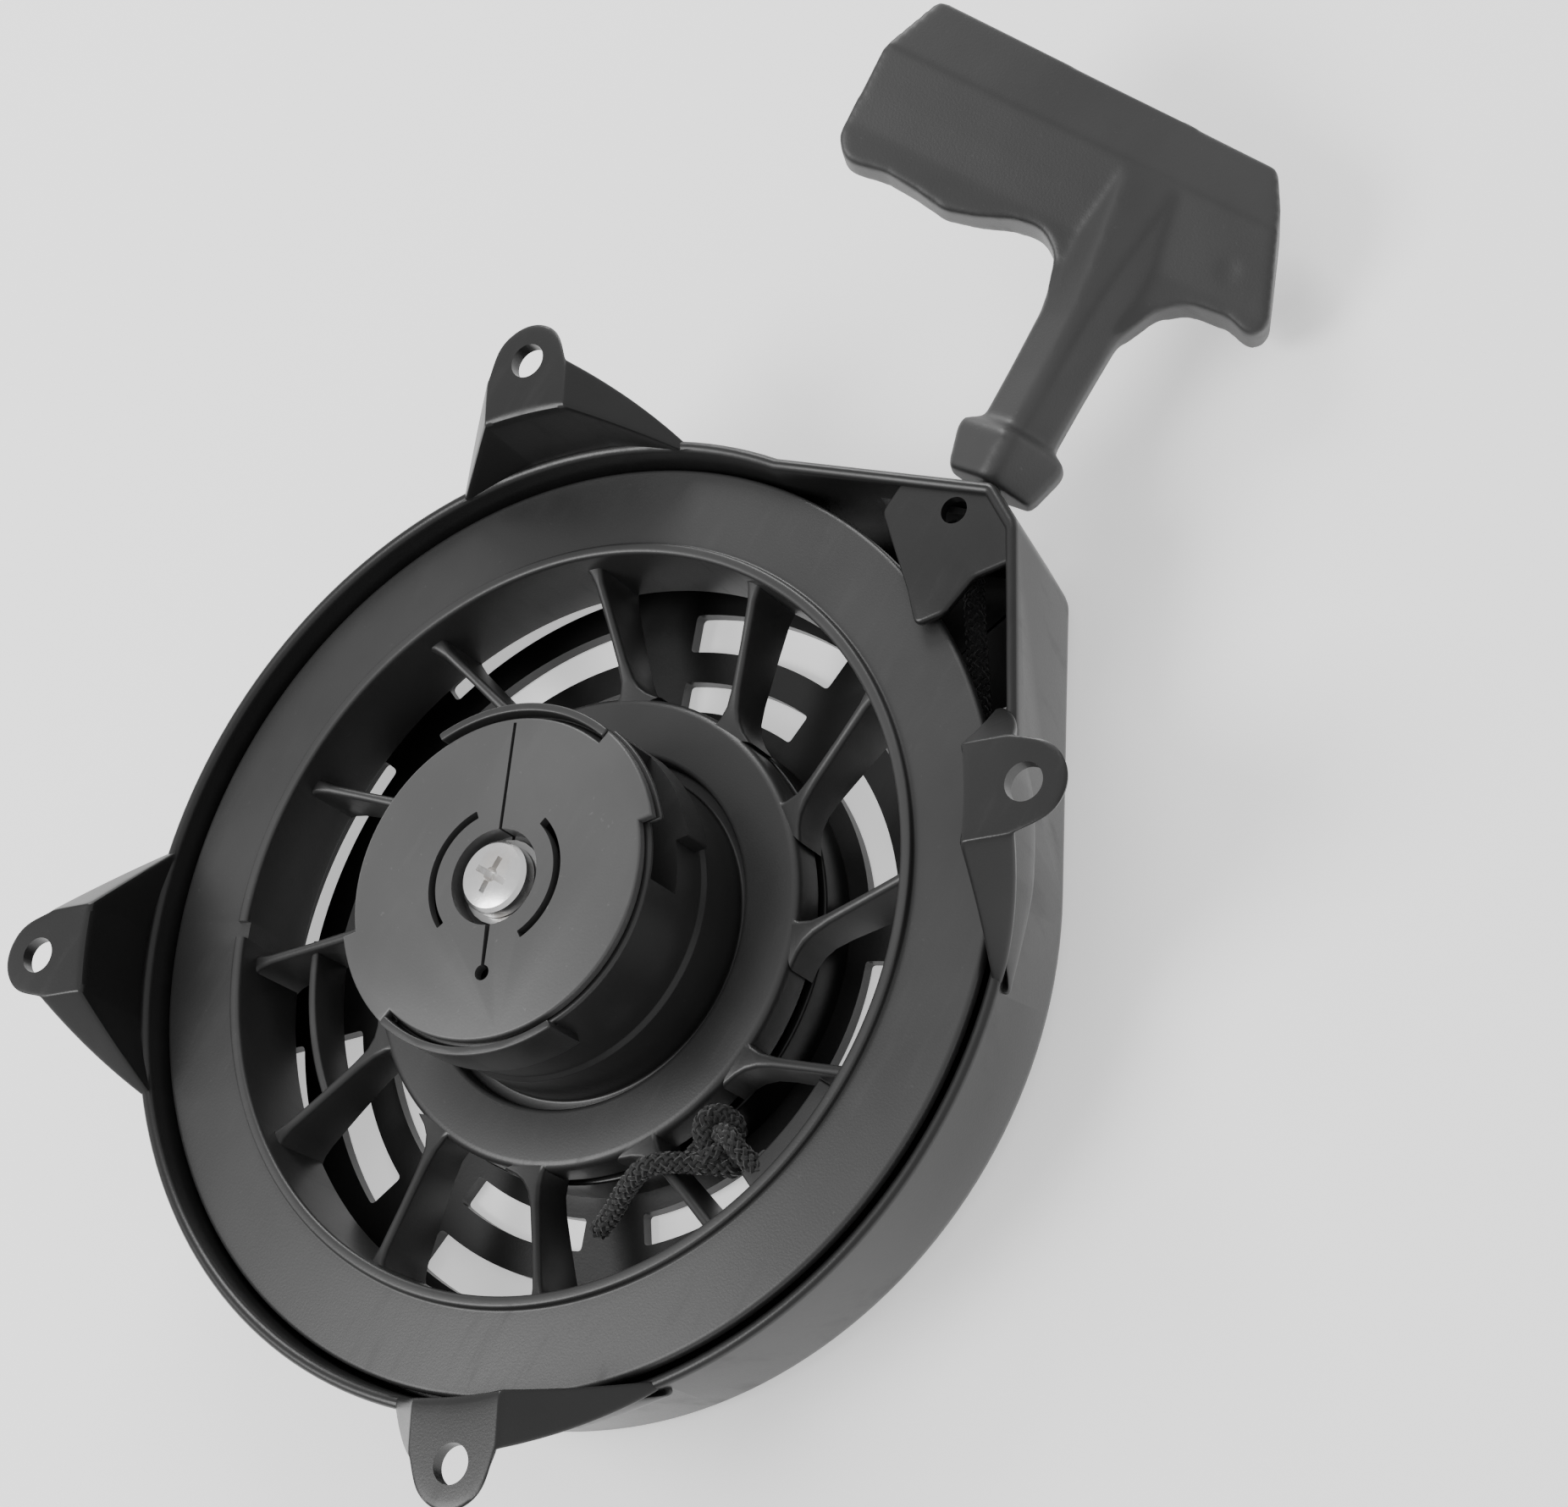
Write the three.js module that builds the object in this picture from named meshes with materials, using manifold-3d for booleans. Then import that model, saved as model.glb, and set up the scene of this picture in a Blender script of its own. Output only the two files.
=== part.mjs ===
// Recoil starter for a small engine: a moulded bowl holding a rope pulley, a rewind spring,
// two pawls under a friction plate, and a pull rope with a T grip.
// Millimetres. +Z is the engine side, +X is the way the rope is pulled,
// and the origin is on the pulley's axis in the plane of the outer face.

import * as THREE from "three";
import { mergeVertices } from "three/addons/utils/BufferGeometryUtils.js";
import { ConvexGeometry } from "three/addons/geometries/ConvexGeometry.js";
import Module from "manifold-3d";

const wasm = await Module();
wasm.setup();

// ---- driving dimensions --------------------------------------------------------------------

const DEG = Math.PI / 180;
const CLEAR = 0.3;

const BOWL_R = 86.5;
const BOWL_TOP = 32;
const NEAR_RIM = 27;
const WALL = 2.3;
const FLOOR = 2.5;
const DRAFT = 0.045;
const FOOT_R = 4;
const SPOUT = { farStart: [87.2, 4], tip: [96.2, -38.5], corner: [91.5, -46.5], nearStart: -59.4 };
const NEAR_CUT = { from: -141, to: -30.5 };

const LUG = { angle: 31.7, count: 4, holeR: 3.25, circleR: 96.6, top: 47.8, thick: 3, endR: 7.6 };
const LUG_SKIN = { inner: 86.6, halfTop: 8.4, halfBase: 24, base: 24, wall: 2.4 };

const GRILLE = { rows: [[46.5, 52.2], [58, 65.3], [71, 76]], count: 8, first: 7.6, half: 15.5 };
const CUP = { inner: 41, outer: 42.8, top: 11 };
const HOOK_SLOT = 1.2;
const POST = { r: 8, top: 38, screwR: 3.05, screwBottom: 8 };

const RING = { inner: 65.8, outer: 82.5, top: 28, bottom: 12, lowR: 79.5, flange: 2.2, groove: 67.7 };
const LIP = { outer: 67.9, top: 29.2, notchAngle: 116 };
const HUB = {
  outer: 28.2, inner: 25.7, top: 45, bottom: 3.5, deckTop: 36.5, deckBottom: 34, boreR: 8.05, sleeveR: 11.5,
};
const WELL = { inner: 29.5, outer: 31.9, floor: 16.5, sill: 28 };
const FLANGE = { outer: 42.5, top: 20, bottom: 13 };
const UNDERCUT = { inner: 34.3, outer: 40.3, low: 14, high: 17.5 };
const SPOKE = { count: 12, first: 20.6, sweep: 10, thick: 1.8, outerTop: 25 };
const ARC_RIB = { inner: 55.2, outer: 56.8, from: 116, to: 147.5, top: 21 };
const KNOT_SHELF = { inner: 58, outer: 67, from: -113, to: -93, low: 18.2, high: 20 };
const CAPWALL = { inner: 29.1, outer: 30.7, top: 47.3, from: -11, to: 57 };

const PLATE = { bottom: 45.2, top: 47.1, lobe: 30.7, lobeFrom: -47, lobeTo: -11, recessR: 8.4 };
const PLATE_CUTS = {
  slotInner: 11.6, slotOuter: 13, slots: [[51, 157], [-121, -15]],
  slitAngle: 27, keyAngle: -152, keyAt: 16.6, keyR: 1.3,
};
const PAWL = { pivotR: 18.5, pivotAngle: -84, pinR: 2.4, bossR: 4.6, bottom: 36.8, top: 43.8 };
const PAWL_WINDOW = { inner: 24.5, outer: 33 };
const SCREW = {
  headR: 6.3, crownR: 5.6, headLow: 44.5, headTop: 48.1, shankLow: 12, slotHalf: 0.6, slotReach: 3.4,
};
const WASHER = { inner: 3.3, outer: 7.4, low: 43.3, high: 44.2 };
const FRICTION_SPRING = { coilR: 6, wireR: 0.32, low: 38.6, rise: 2.4 };

const SPRING = { inner: 12.6, outer: 39.6, turns: 7, thick: 0.6, low: 3.2, high: 10.8 };

const ROPE_R = 1.7;
const COIL = { layer1: 70.3, layer2: 73.8, low: 16.2, high: 23.8, first: -104.4, sweep: 1485 };
const ROPE_Z = 20;
const BUSH = {
  centre: [91.8, -30.2], angle: 12, lean: 6.9, barrelR: 4.6, flangeR: 6.2, flange: 1.2, gap: 2.9,
};
const GUARD = {
  low: 29.2,
  high: 31,
  outline: [
    [84.6, -20.8], [91.8, -21.4], [95, -38.6], [90.6, -45.9], [85.7, -49.2],
    [80.3, -43.7], [72.9, -42], [69.1, -38], [74.1, -33.1],
  ],
  notch: [89.4, -33.8],
  notchR: 2.4,
};
const WINDOW = { low: [84, -23.2, 8], high: [100, -15.5, 26] };

const KNOT = { centre: [-20.5, -44.6, 17.5], radii: [5.2, 4.4, 4.6] };
const GRIP = {
  origin: [97.3, -30.2, ROPE_Z], twist: 25, height: 71, crease: 59, halfThick: 9.5, knotSeat: 61.9,
};
const POCKET = { r: 4.7, floor: 60.6 };

// ---- materials -----------------------------------------------------------------------------

const plastic = (colour, roughness) => {
  return new THREE.MeshStandardMaterial({ color: colour, roughness, metalness: 0 });
};
const metal = (colour, roughness) => {
  return new THREE.MeshStandardMaterial({ color: colour, roughness, metalness: 1 });
};
const housingBlack = plastic(0x1b1b1c, 0.45);
const pulleyBlack = plastic(0x242425, 0.4);
const gripBlack = plastic(0x1f1f20, 0.55);
const plateGrey = plastic(0x303032, 0.4);
const ropeBlack = plastic(0x151516, 0.9);
const springSteel = metal(0x4a4d52, 0.35);
const zincSteel = metal(0xc9ccd0, 0.3);

// ---- solids --------------------------------------------------------------------------------

// Turns a closed geometry into a manifold solid with its faces pointing out.
function solid(geometry) {
  const plain = geometry.index ? geometry.toNonIndexed() : geometry.clone();
  plain.deleteAttribute("normal");
  plain.deleteAttribute("uv");
  const merged = mergeVertices(plain, 1e-4);
  const vertProperties = new Float32Array(merged.attributes.position.array);
  const kept = [];
  const index = merged.index.array;
  for (let i = 0; i < index.length; i += 3) {
    const [a, b, c] = [index[i], index[i + 1], index[i + 2]];
    if (a !== b && b !== c && c !== a) {
      kept.push(a, b, c);
    }
  }
  const triVerts = new Uint32Array(kept);
  const first = new wasm.Manifold(new wasm.Mesh({ numProp: 3, vertProperties, triVerts }));
  if (first.volume() > 0) {
    return first;
  }
  for (let i = 0; i < triVerts.length; i += 3) {
    [triVerts[i + 1], triVerts[i + 2]] = [triVerts[i + 2], triVerts[i + 1]];
  }
  return new wasm.Manifold(new wasm.Mesh({ numProp: 3, vertProperties, triVerts }));
}

function join(...parts) {
  return parts.reduce((a, b) => a.add(b));
}

function cut(base, ...tools) {
  return tools.reduce((a, b) => a.subtract(b), base);
}

const group = new THREE.Group();

// Adds a solid to the object as a named mesh.
function place(name, body, material) {
  const data = body.getMesh();
  const geometry = new THREE.BufferGeometry();
  geometry.setAttribute("position", new THREE.BufferAttribute(data.vertProperties, 3));
  geometry.setIndex(new THREE.BufferAttribute(data.triVerts, 1));
  geometry.computeVertexNormals();
  const mesh = new THREE.Mesh(geometry, material);
  mesh.name = name;
  group.add(mesh);
}

const polar = (r, degrees) => [r * Math.cos(degrees * DEG), r * Math.sin(degrees * DEG)];

function arcPoints(r, from, to, step = 7.5) {
  const count = Math.max(1, Math.ceil(Math.abs(to - from) / step));
  const points = [];
  for (let i = 0; i <= count; i += 1) {
    points.push(polar(r, from + ((to - from) * i) / count));
  }
  return points;
}

function shapeOf(points) {
  return new THREE.Shape(points.map(([x, y]) => new THREE.Vector2(x, y)));
}

function slab(points, low, high) {
  const geometry = new THREE.ExtrudeGeometry(shapeOf(points), { depth: high - low, bevelEnabled: false });
  geometry.translate(0, 0, low);
  return geometry;
}

const extruded = (points, low, high) => solid(slab(points, low, high));

const sectorPoints = (inner, outer, from, to, step) => {
  return [...arcPoints(inner, from, to, step), ...arcPoints(outer, to, from, step)];
};

const sector = (inner, outer, from, to, low, high, step = 7.5) => {
  return extruded(sectorPoints(inner, outer, from, to, step), low, high);
};

// Turns a closed profile of [radius, height] points about Z.
function turned(profile, segments = 60) {
  const points = [...profile, profile[0]].map(([r, z]) => new THREE.Vector2(r, z));
  const geometry = new THREE.LatheGeometry(points, segments);
  geometry.rotateX(Math.PI / 2);
  return solid(geometry);
}

// Turns a profile that starts and ends on the axis about Z.
function turnedOnAxis(profile, segments = 32) {
  const points = profile.map(([r, z]) => new THREE.Vector2(r, z));
  const geometry = new THREE.LatheGeometry(points, segments);
  geometry.rotateX(Math.PI / 2);
  return solid(geometry);
}

const rod = (r, low, high, segments = 32) => {
  return turnedOnAxis([[0, low], [r, low], [r, high], [0, high]], segments);
};

function hull(points) {
  return solid(new ConvexGeometry(points.map((p) => new THREE.Vector3(...p))));
}

function box(low, high) {
  const size = high.map((value, i) => value - low[i]);
  const geometry = new THREE.BoxGeometry(...size);
  geometry.translate(...low.map((value, i) => value + size[i] / 2));
  return solid(geometry);
}

// A round bar between two points.
function barBetween(from, to, r, segments = 20) {
  const start = new THREE.Vector3(...from);
  const along = new THREE.Vector3(...to).sub(start);
  const geometry = new THREE.CylinderGeometry(r, r, along.length(), segments);
  const turn = new THREE.Quaternion();
  turn.setFromUnitVectors(new THREE.Vector3(0, 1, 0), along.clone().normalize());
  geometry.applyQuaternion(turn);
  geometry.translate(...start.addScaledVector(along, 0.5).toArray());
  return solid(geometry);
}

// A rope of eight sides along a smooth curve through the points.
function rope(points, steps) {
  const path = new THREE.CatmullRomCurve3(points.map((p) => new THREE.Vector3(...p)), false, "centripetal");
  const section = shapeOf(arcPoints(ROPE_R, 0, 315, 45));
  return solid(new THREE.ExtrudeGeometry(section, { steps, extrudePath: path, bevelEnabled: false }));
}

// ---- housing -------------------------------------------------------------------------------

// Moves each side of a closed outline inwards by a distance.
function inset(points, distance) {
  const count = points.length;
  const normals = points.map(([x, y], i) => {
    const [nextX, nextY] = points[(i + 1) % count];
    const length = Math.hypot(nextX - x, nextY - y);
    return [(nextY - y) / length, (x - nextX) / length];
  });
  return points.map(([x, y], i) => {
    const [ax, ay] = normals[(i + count - 1) % count];
    const [bx, by] = normals[i];
    const share = distance / (1 + ax * bx + ay * by);
    return [x - (ax + bx) * share, y - (ay + by) * share];
  });
}

const spoutStart = Math.atan2(SPOUT.farStart[1], SPOUT.farStart[0]) / DEG;
const bowlOutline = [
  ...arcPoints(BOWL_R, spoutStart, 360 + SPOUT.nearStart, 6),
  SPOUT.corner,
  SPOUT.tip,
];

// Narrows a shape towards the outer face, as a moulding's draft does.
function drafted(geometry) {
  const position = geometry.attributes.position;
  for (let i = 0; i < position.count; i += 1) {
    const scale = 1 - DRAFT * (1 - position.getZ(i) / BOWL_TOP);
    position.setXY(i, position.getX(i) * scale, position.getY(i) * scale);
  }
  return geometry;
}

function bowl() {
  const outer = new THREE.ExtrudeGeometry(shapeOf(bowlOutline), {
    depth: BOWL_TOP,
    bevelThickness: FOOT_R,
    bevelSize: FOOT_R,
    bevelOffset: -FOOT_R,
    bevelSegments: 3,
  });
  outer.translate(0, 0, FOOT_R);
  const hollow = slab(inset(bowlOutline, WALL), FLOOR, BOWL_TOP + 20);
  const overTop = box([-150, -150, BOWL_TOP], [150, 150, BOWL_TOP + 20]);
  const overNearRim = sector(20, 140, NEAR_CUT.from, NEAR_CUT.to, NEAR_RIM, BOWL_TOP + 1);
  return cut(solid(drafted(outer)), solid(drafted(hollow)), overTop, overNearRim);
}

function grilleSlots() {
  const slots = [];
  for (const [inner, outer] of GRILLE.rows) {
    for (let k = 0; k < GRILLE.count; k += 1) {
      const middle = GRILLE.first + (360 / GRILLE.count) * k;
      slots.push(sector(inner, outer, middle - GRILLE.half, middle + GRILLE.half, -1, FLOOR + 1, 10.5));
    }
  }
  return slots;
}

// One mounting lug: a flat ear on a hollow tower with two sloping wings, at local +X.
function lug() {
  const { inner, halfTop, halfBase, base, wall } = LUG_SKIN;
  const underEar = LUG.top - LUG.thick;
  const earEnd = arcPoints(LUG.endR, -80, 80, 26).map(([x, y]) => [x + LUG.circleR, y]);
  const ear = extruded([[inner, halfTop], [inner, -halfTop], ...earEnd], underEar, LUG.top);
  const bothSides = (x, y, z) => [[x, y, z], [x, -y, z]];
  const outside = hull([
    ...bothSides(inner, halfTop, LUG.top - 0.5),
    ...bothSides(LUG.circleR + 2, halfTop - 1, LUG.top - 0.5),
    ...bothSides(inner - 2, halfBase, base + 6),
    ...bothSides(inner, halfBase, base),
    [inner + 2, 0, base],
  ]);
  const outThrough = inner + 40;
  const footHalf = halfBase - wall - 0.8;
  const hollow = hull([
    ...bothSides(inner + wall, halfTop - wall, underEar),
    ...bothSides(outThrough, halfTop - wall, underEar),
    ...bothSides(inner + 0.6, footHalf, base + 5.5),
    ...bothSides(outThrough, footHalf, base - 2),
    [inner + 0.6, 0, base - 2],
  ]);
  const insideBowl = rod(inner - 2.6, 0, LUG.top - 8, 60);
  const hole = solid(new THREE.CylinderGeometry(LUG.holeR, LUG.holeR, 30, 16).rotateX(Math.PI / 2)
    .translate(LUG.circleR, 0, LUG.top));
  return cut(join(cut(outside, hollow), ear), insideBowl, hole);
}

// Lays a body made about Z square through the spout's leaning wall, where the rope leaves.
function throughSpoutWall(body) {
  return body.rotate([0, 90 + BUSH.lean, 0]).rotate([0, 0, BUSH.angle]).translate([...BUSH.centre, ROPE_Z]);
}

function housing() {
  let body = bowl();
  const cupWall = turned([
    [CUP.inner, FLOOR - 1], [CUP.outer, FLOOR - 1], [CUP.outer, CUP.top], [CUP.inner, CUP.top],
  ], 36);
  const hookSlot = box([CUP.inner - 2, -HOOK_SLOT, FLOOR], [CUP.outer + 2, HOOK_SLOT, CUP.top + 1]);
  body = join(body, cut(cupWall, hookSlot), rod(POST.r, 0.5, POST.top, 36));
  for (let k = 0; k < LUG.count; k += 1) {
    body = body.add(lug().rotate([0, 0, LUG.angle + (360 / LUG.count) * k]));
  }
  body = body.add(extruded(GUARD.outline, GUARD.low, GUARD.high));
  const bushHole = throughSpoutWall(rod(BUSH.barrelR + CLEAR, -8, 8, 24));
  const notch = rod(GUARD.notchR, GUARD.low - 1, GUARD.high + 1, 16).translate([...GUARD.notch, 0]);
  const screwHole = rod(POST.screwR, POST.screwBottom, POST.top + 1, 16);
  return cut(body, bushHole, box(WINDOW.low, WINDOW.high), notch, screwHole, ...grilleSlots());
}

// ---- pulley --------------------------------------------------------------------------------

// A straight blade between two radii; its top edge may slope.
function blade(from, to, thick, low, highFrom, highTo) {
  const [ax, ay] = from;
  const [bx, by] = to;
  const length = Math.hypot(bx - ax, by - ay);
  const [nx, ny] = [(-(by - ay) / length) * (thick / 2), ((bx - ax) / length) * (thick / 2)];
  const corners = [];
  for (const side of [1, -1]) {
    corners.push([ax + nx * side, ay + ny * side, low], [ax + nx * side, ay + ny * side, highFrom]);
    corners.push([bx + nx * side, by + ny * side, low], [bx + nx * side, by + ny * side, highTo]);
  }
  return hull(corners);
}

function pulley() {
  const ring = turned([
    [RING.inner, RING.bottom], [RING.lowR, RING.bottom], [RING.lowR, RING.bottom + RING.flange],
    [RING.groove, RING.bottom + RING.flange], [RING.groove, RING.top - RING.flange],
    [RING.outer, RING.top - RING.flange], [RING.outer, RING.top], [LIP.outer, RING.top],
    [LIP.outer, LIP.top], [RING.inner, LIP.top],
  ]);
  const hub = turned([
    [HUB.boreR, HUB.bottom], [HUB.sleeveR, HUB.bottom], [HUB.sleeveR, HUB.deckBottom],
    [HUB.inner, HUB.deckBottom], [HUB.inner, UNDERCUT.low], [UNDERCUT.inner, UNDERCUT.low],
    [UNDERCUT.inner, UNDERCUT.high], [UNDERCUT.outer, UNDERCUT.high], [UNDERCUT.outer, FLANGE.bottom],
    [FLANGE.outer, FLANGE.bottom], [FLANGE.outer, FLANGE.top], [WELL.outer, FLANGE.top],
    [WELL.outer, WELL.floor], [WELL.inner, WELL.floor], [WELL.inner, WELL.sill],
    [HUB.outer, WELL.sill + 1], [HUB.outer, HUB.top], [HUB.inner, HUB.top],
    [HUB.inner, HUB.deckTop], [HUB.boreR, HUB.deckTop],
  ], 36);
  let body = ring.add(hub);
  for (let k = 0; k < SPOKE.count; k += 1) {
    const angle = SPOKE.first + (360 / SPOKE.count) * k;
    const inner = polar(FLANGE.outer - 1.2, angle);
    const outer = polar(RING.inner + 1, angle + SPOKE.sweep);
    body = body.add(blade(inner, outer, SPOKE.thick, RING.bottom, FLANGE.top, SPOKE.outerTop));
  }
  const rib = ARC_RIB;
  const arcRib = sector(rib.inner, rib.outer, rib.from, rib.to, RING.bottom, rib.top);
  const shelf = KNOT_SHELF;
  const knotShelf = sector(shelf.inner, shelf.outer, shelf.from, shelf.to, shelf.low, shelf.high);
  body = join(body, arcRib, knotShelf);
  const capFoot = HUB.inner + 1.3;
  const windowFrom = PLATE.lobeFrom - 19;
  const windowTo = PLATE.lobeTo - 4;
  const windowLow = PAWL.bottom - 0.3;
  const windowHigh = PAWL.top + 0.4;
  for (const turn of [0, 180]) {
    const wallFoot = sector(capFoot, CAPWALL.outer, CAPWALL.from, CAPWALL.to, 38, 44);
    const wallTop = sector(CAPWALL.inner, CAPWALL.outer, CAPWALL.from, CAPWALL.to, 43, CAPWALL.top);
    const lobeEnd = PLATE.lobeTo + 1.6;
    const lobe = sector(capFoot, PLATE.lobe - 0.1, PLATE.lobeFrom, lobeEnd, 30, HUB.top - 0.2);
    const { inner, outer } = PAWL_WINDOW;
    const window = sector(inner, outer, windowFrom, windowTo, windowLow, windowHigh);
    const [pinX, pinY] = polar(PAWL.pivotR, PAWL.pivotAngle);
    const pin = rod(PAWL.pinR, HUB.deckBottom + 0.5, PAWL.top + 0.6, 24).translate([pinX, pinY, 0]);
    const local = cut(join(wallFoot, wallTop, lobe), window);
    body = cut(body, window.rotate([0, 0, turn])).add(local.add(pin).rotate([0, 0, turn]));
  }
  const [holeInX, holeInY] = polar(58, -112.6);
  const [holeOutX, holeOutY] = polar(71.5, -105.4);
  const ropeHole = barBetween([holeInX, holeInY, COIL.low], [holeOutX, holeOutY, COIL.low], 2.4);
  const lipNotch = box([64, -1.6, RING.top], [70, 1.6, RING.top + 3]).rotate([0, 0, LIP.notchAngle]);
  const hookSlot = box([HUB.boreR - 1, -HOOK_SLOT, 2], [HUB.sleeveR + 1, HOOK_SLOT, 12]);
  return cut(body, ropeHole, lipNotch, hookSlot);
}

// ---- rewind spring -------------------------------------------------------------------------

// A flat spiral strip whose straight ends hook into the pulley's sleeve and the cup.
function rewindSpring() {
  const steps = SPRING.turns * 18;
  const line = [[HUB.boreR + 0.8, 0], [SPRING.inner - 0.4, 0]];
  for (let i = 1; i <= steps; i += 1) {
    const r = SPRING.inner + ((SPRING.outer - SPRING.inner) * i) / steps;
    line.push(polar(r, (360 * SPRING.turns * i) / steps));
  }
  line.push([CUP.outer + 0.8, 0]);
  const side = (sign) => line.map(([x, y], i) => {
    const [beforeX, beforeY] = line[Math.max(0, i - 1)];
    const [afterX, afterY] = line[Math.min(line.length - 1, i + 1)];
    const length = Math.hypot(afterX - beforeX, afterY - beforeY);
    const reach = (sign * SPRING.thick) / 2 / length;
    return [x - (afterY - beforeY) * reach, y + (afterX - beforeX) * reach];
  });
  return extruded([...side(1), ...side(-1).reverse()], SPRING.low, SPRING.high);
}

// ---- pawls, friction plate and screw -------------------------------------------------------

function pawl() {
  const [pivotX, pivotY] = polar(PAWL.pivotR, PAWL.pivotAngle);
  const boss = arcPoints(PAWL.bossR, -60, -270, 15).map(([x, y]) => [x + pivotX, y + pivotY]);
  const tip = [polar(24.9, -30), polar(23.4, -26.5)];
  const outline = [...tip, ...arcPoints(19.6, -30, -58, 5), ...boss.reverse()];
  const bore = rod(PAWL.pinR + 0.06, 30, 50, 24).translate([pivotX, pivotY, 0]);
  return cut(extruded(outline, PAWL.bottom, PAWL.top), bore);
}

function pawlSpring() {
  const [pivotX, pivotY] = polar(PAWL.pivotR, PAWL.pivotAngle);
  const coil = turned([
    [PAWL.pinR + 0.3, 44], [PAWL.pinR + 1, 44], [PAWL.pinR + 1, 44.7], [PAWL.pinR + 0.3, 44.7],
  ], 20).translate([pivotX, pivotY, 0]);
  const legEnd = polar(21, -52);
  const leg = barBetween([pivotX + 2.4, pivotY + 2.1, 44.35], [legEnd[0], legEnd[1], 44.35], 0.29, 8);
  return coil.add(leg);
}

function frictionPlate() {
  const outline = [
    ...arcPoints(PLATE.lobe, PLATE.lobeFrom, PLATE.lobeTo, 6),
    ...arcPoints(HUB.outer, PLATE.lobeTo, 180 + PLATE.lobeFrom, 6),
    ...arcPoints(PLATE.lobe, 180 + PLATE.lobeFrom, 180 + PLATE.lobeTo, 6),
    ...arcPoints(HUB.outer, 180 + PLATE.lobeTo, 360 + PLATE.lobeFrom, 6),
  ];
  const disc = extruded(outline, PLATE.bottom, PLATE.top);
  const boss = rod(PLATE.recessR + 2, 41.5, PLATE.bottom + 0.5, 28);
  const recess = rod(PLATE.recessR, 43, 50, 28);
  const bore = rod(POST.screwR + 0.4, 40, 50, 16);
  const { slotInner, slotOuter, slots, slitAngle, keyAngle, keyAt, keyR } = PLATE_CUTS;
  const [under, over] = [42, 48];
  const arcSlots = slots.map(([from, to]) => sector(slotInner, slotOuter, from, to, under, over));
  const slitFrom = PLATE.recessR - 1;
  const slit = box([slitFrom, -0.35, under], [HUB.outer - 0.9, 0.35, over]).rotate([0, 0, slitAngle]);
  const keySlit = box([slitFrom, -0.5, under], [keyAt, 0.5, over]).rotate([0, 0, keyAngle]);
  const keyhole = rod(keyR, under, over, 16).translate([...polar(keyAt, keyAngle), 0]);
  return cut(join(disc, boss), recess, bore, ...arcSlots, slit, keySlit, keyhole);
}

function frictionSpring() {
  const points = [];
  const { coilR, wireR, low, rise } = FRICTION_SPRING;
  for (let i = 0; i <= 48; i += 1) {
    const [x, y] = polar(coilR, i * 22.5);
    points.push([x, y, low + (rise * i) / 48]);
  }
  const path = new THREE.CatmullRomCurve3(points.map((p) => new THREE.Vector3(...p)));
  const section = shapeOf(arcPoints(wireR, 0, 300, 60));
  return solid(new THREE.ExtrudeGeometry(section, { steps: 40, extrudePath: path, bevelEnabled: false }));
}

function frictionWasher() {
  const { inner, outer, low, high } = WASHER;
  return turned([[inner, low], [outer, low], [outer, high], [inner, high]], 24);
}

function centreScrew() {
  const { headR, crownR, headLow, headTop, shankLow, slotHalf, slotReach } = SCREW;
  const head = turnedOnAxis([
    [0, headLow], [headR, headLow], [headR, headTop - 1.3], [crownR, headTop - 0.4], [0, headTop],
  ], 24);
  const shank = rod(POST.screwR - 0.1, shankLow, 45, 16);
  const bar = (x, y) => box([-x, -y, headTop - 1.9], [x, y, headTop + 0.9]);
  const recess = join(bar(slotReach, slotHalf), bar(slotHalf, slotReach));
  return cut(join(head, shank), recess);
}

// ---- rope ----------------------------------------------------------------------------------

// The wound rope: two turns out over the groove's floor, then back over them.
function coilPoints() {
  const points = [];
  const step = 15;
  const climb = 30;
  const half = COIL.sweep / 2;
  for (let angle = 0; angle <= COIL.sweep; angle += step) {
    const across = 1 - Math.abs(angle - half) / half;
    const rise = Math.min(1, Math.max(0, (angle - half) / climb));
    const r = COIL.layer1 + (COIL.layer2 - COIL.layer1) * rise;
    points.push([...polar(r, COIL.first + angle), COIL.low + (COIL.high - COIL.low) * across]);
  }
  return points;
}

// The straight run from the groove to the bush, holding its height until it has left the coil.
function runPoints(start) {
  const [startX, startY, startZ] = start;
  const [bushX, bushY] = BUSH.centre;
  const at = (share, z) => [startX + (bushX - startX) * share, startY + (bushY - startY) * share, z];
  return [
    at(0.006, startZ), at(0.2, startZ), at(0.42, startZ), at(0.75, ROPE_Z - 0.8), at(0.93, ROPE_Z),
    at(0.98, ROPE_Z),
  ];
}

// The bend inside the bush and the straight length to the knot in the grip.
function leadPoints() {
  const [bushX, bushY] = BUSH.centre;
  const [gripX, gripY] = GRIP.origin;
  return [
    [bushX - 0.3, bushY - 0.4, ROPE_Z], [bushX + 1.5, bushY, ROPE_Z], [bushX + 7, gripY, ROPE_Z],
    [bushX + 32, gripY, ROPE_Z], [gripX + GRIP.knotSeat, gripY, ROPE_Z],
  ];
}

// A plain knot: an egg on the end of the rope.
function egg(centre, radii) {
  const ball = new THREE.SphereGeometry(1, 16, 10);
  ball.scale(...radii);
  ball.translate(...centre);
  return solid(ball);
}

function pulleyKnot() {
  const knot = egg(KNOT.centre, KNOT.radii);
  const stub = rope([
    KNOT.centre, [-20.6, -53.5, 16.4], [...polar(62, -110.3), COIL.low],
    [...polar(67, -107.7), COIL.low], [...polar(69.4, -106.5), COIL.low],
  ], 10);
  const tail = rope([
    KNOT.centre, [-24.6, -41.6, 22.6], [-28.9, -38.6, 23.8], [-34, -35.8, 21.4], [-41.8, -31.6, 16.4],
  ], 14);
  return join(knot, stub, tail);
}

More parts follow.
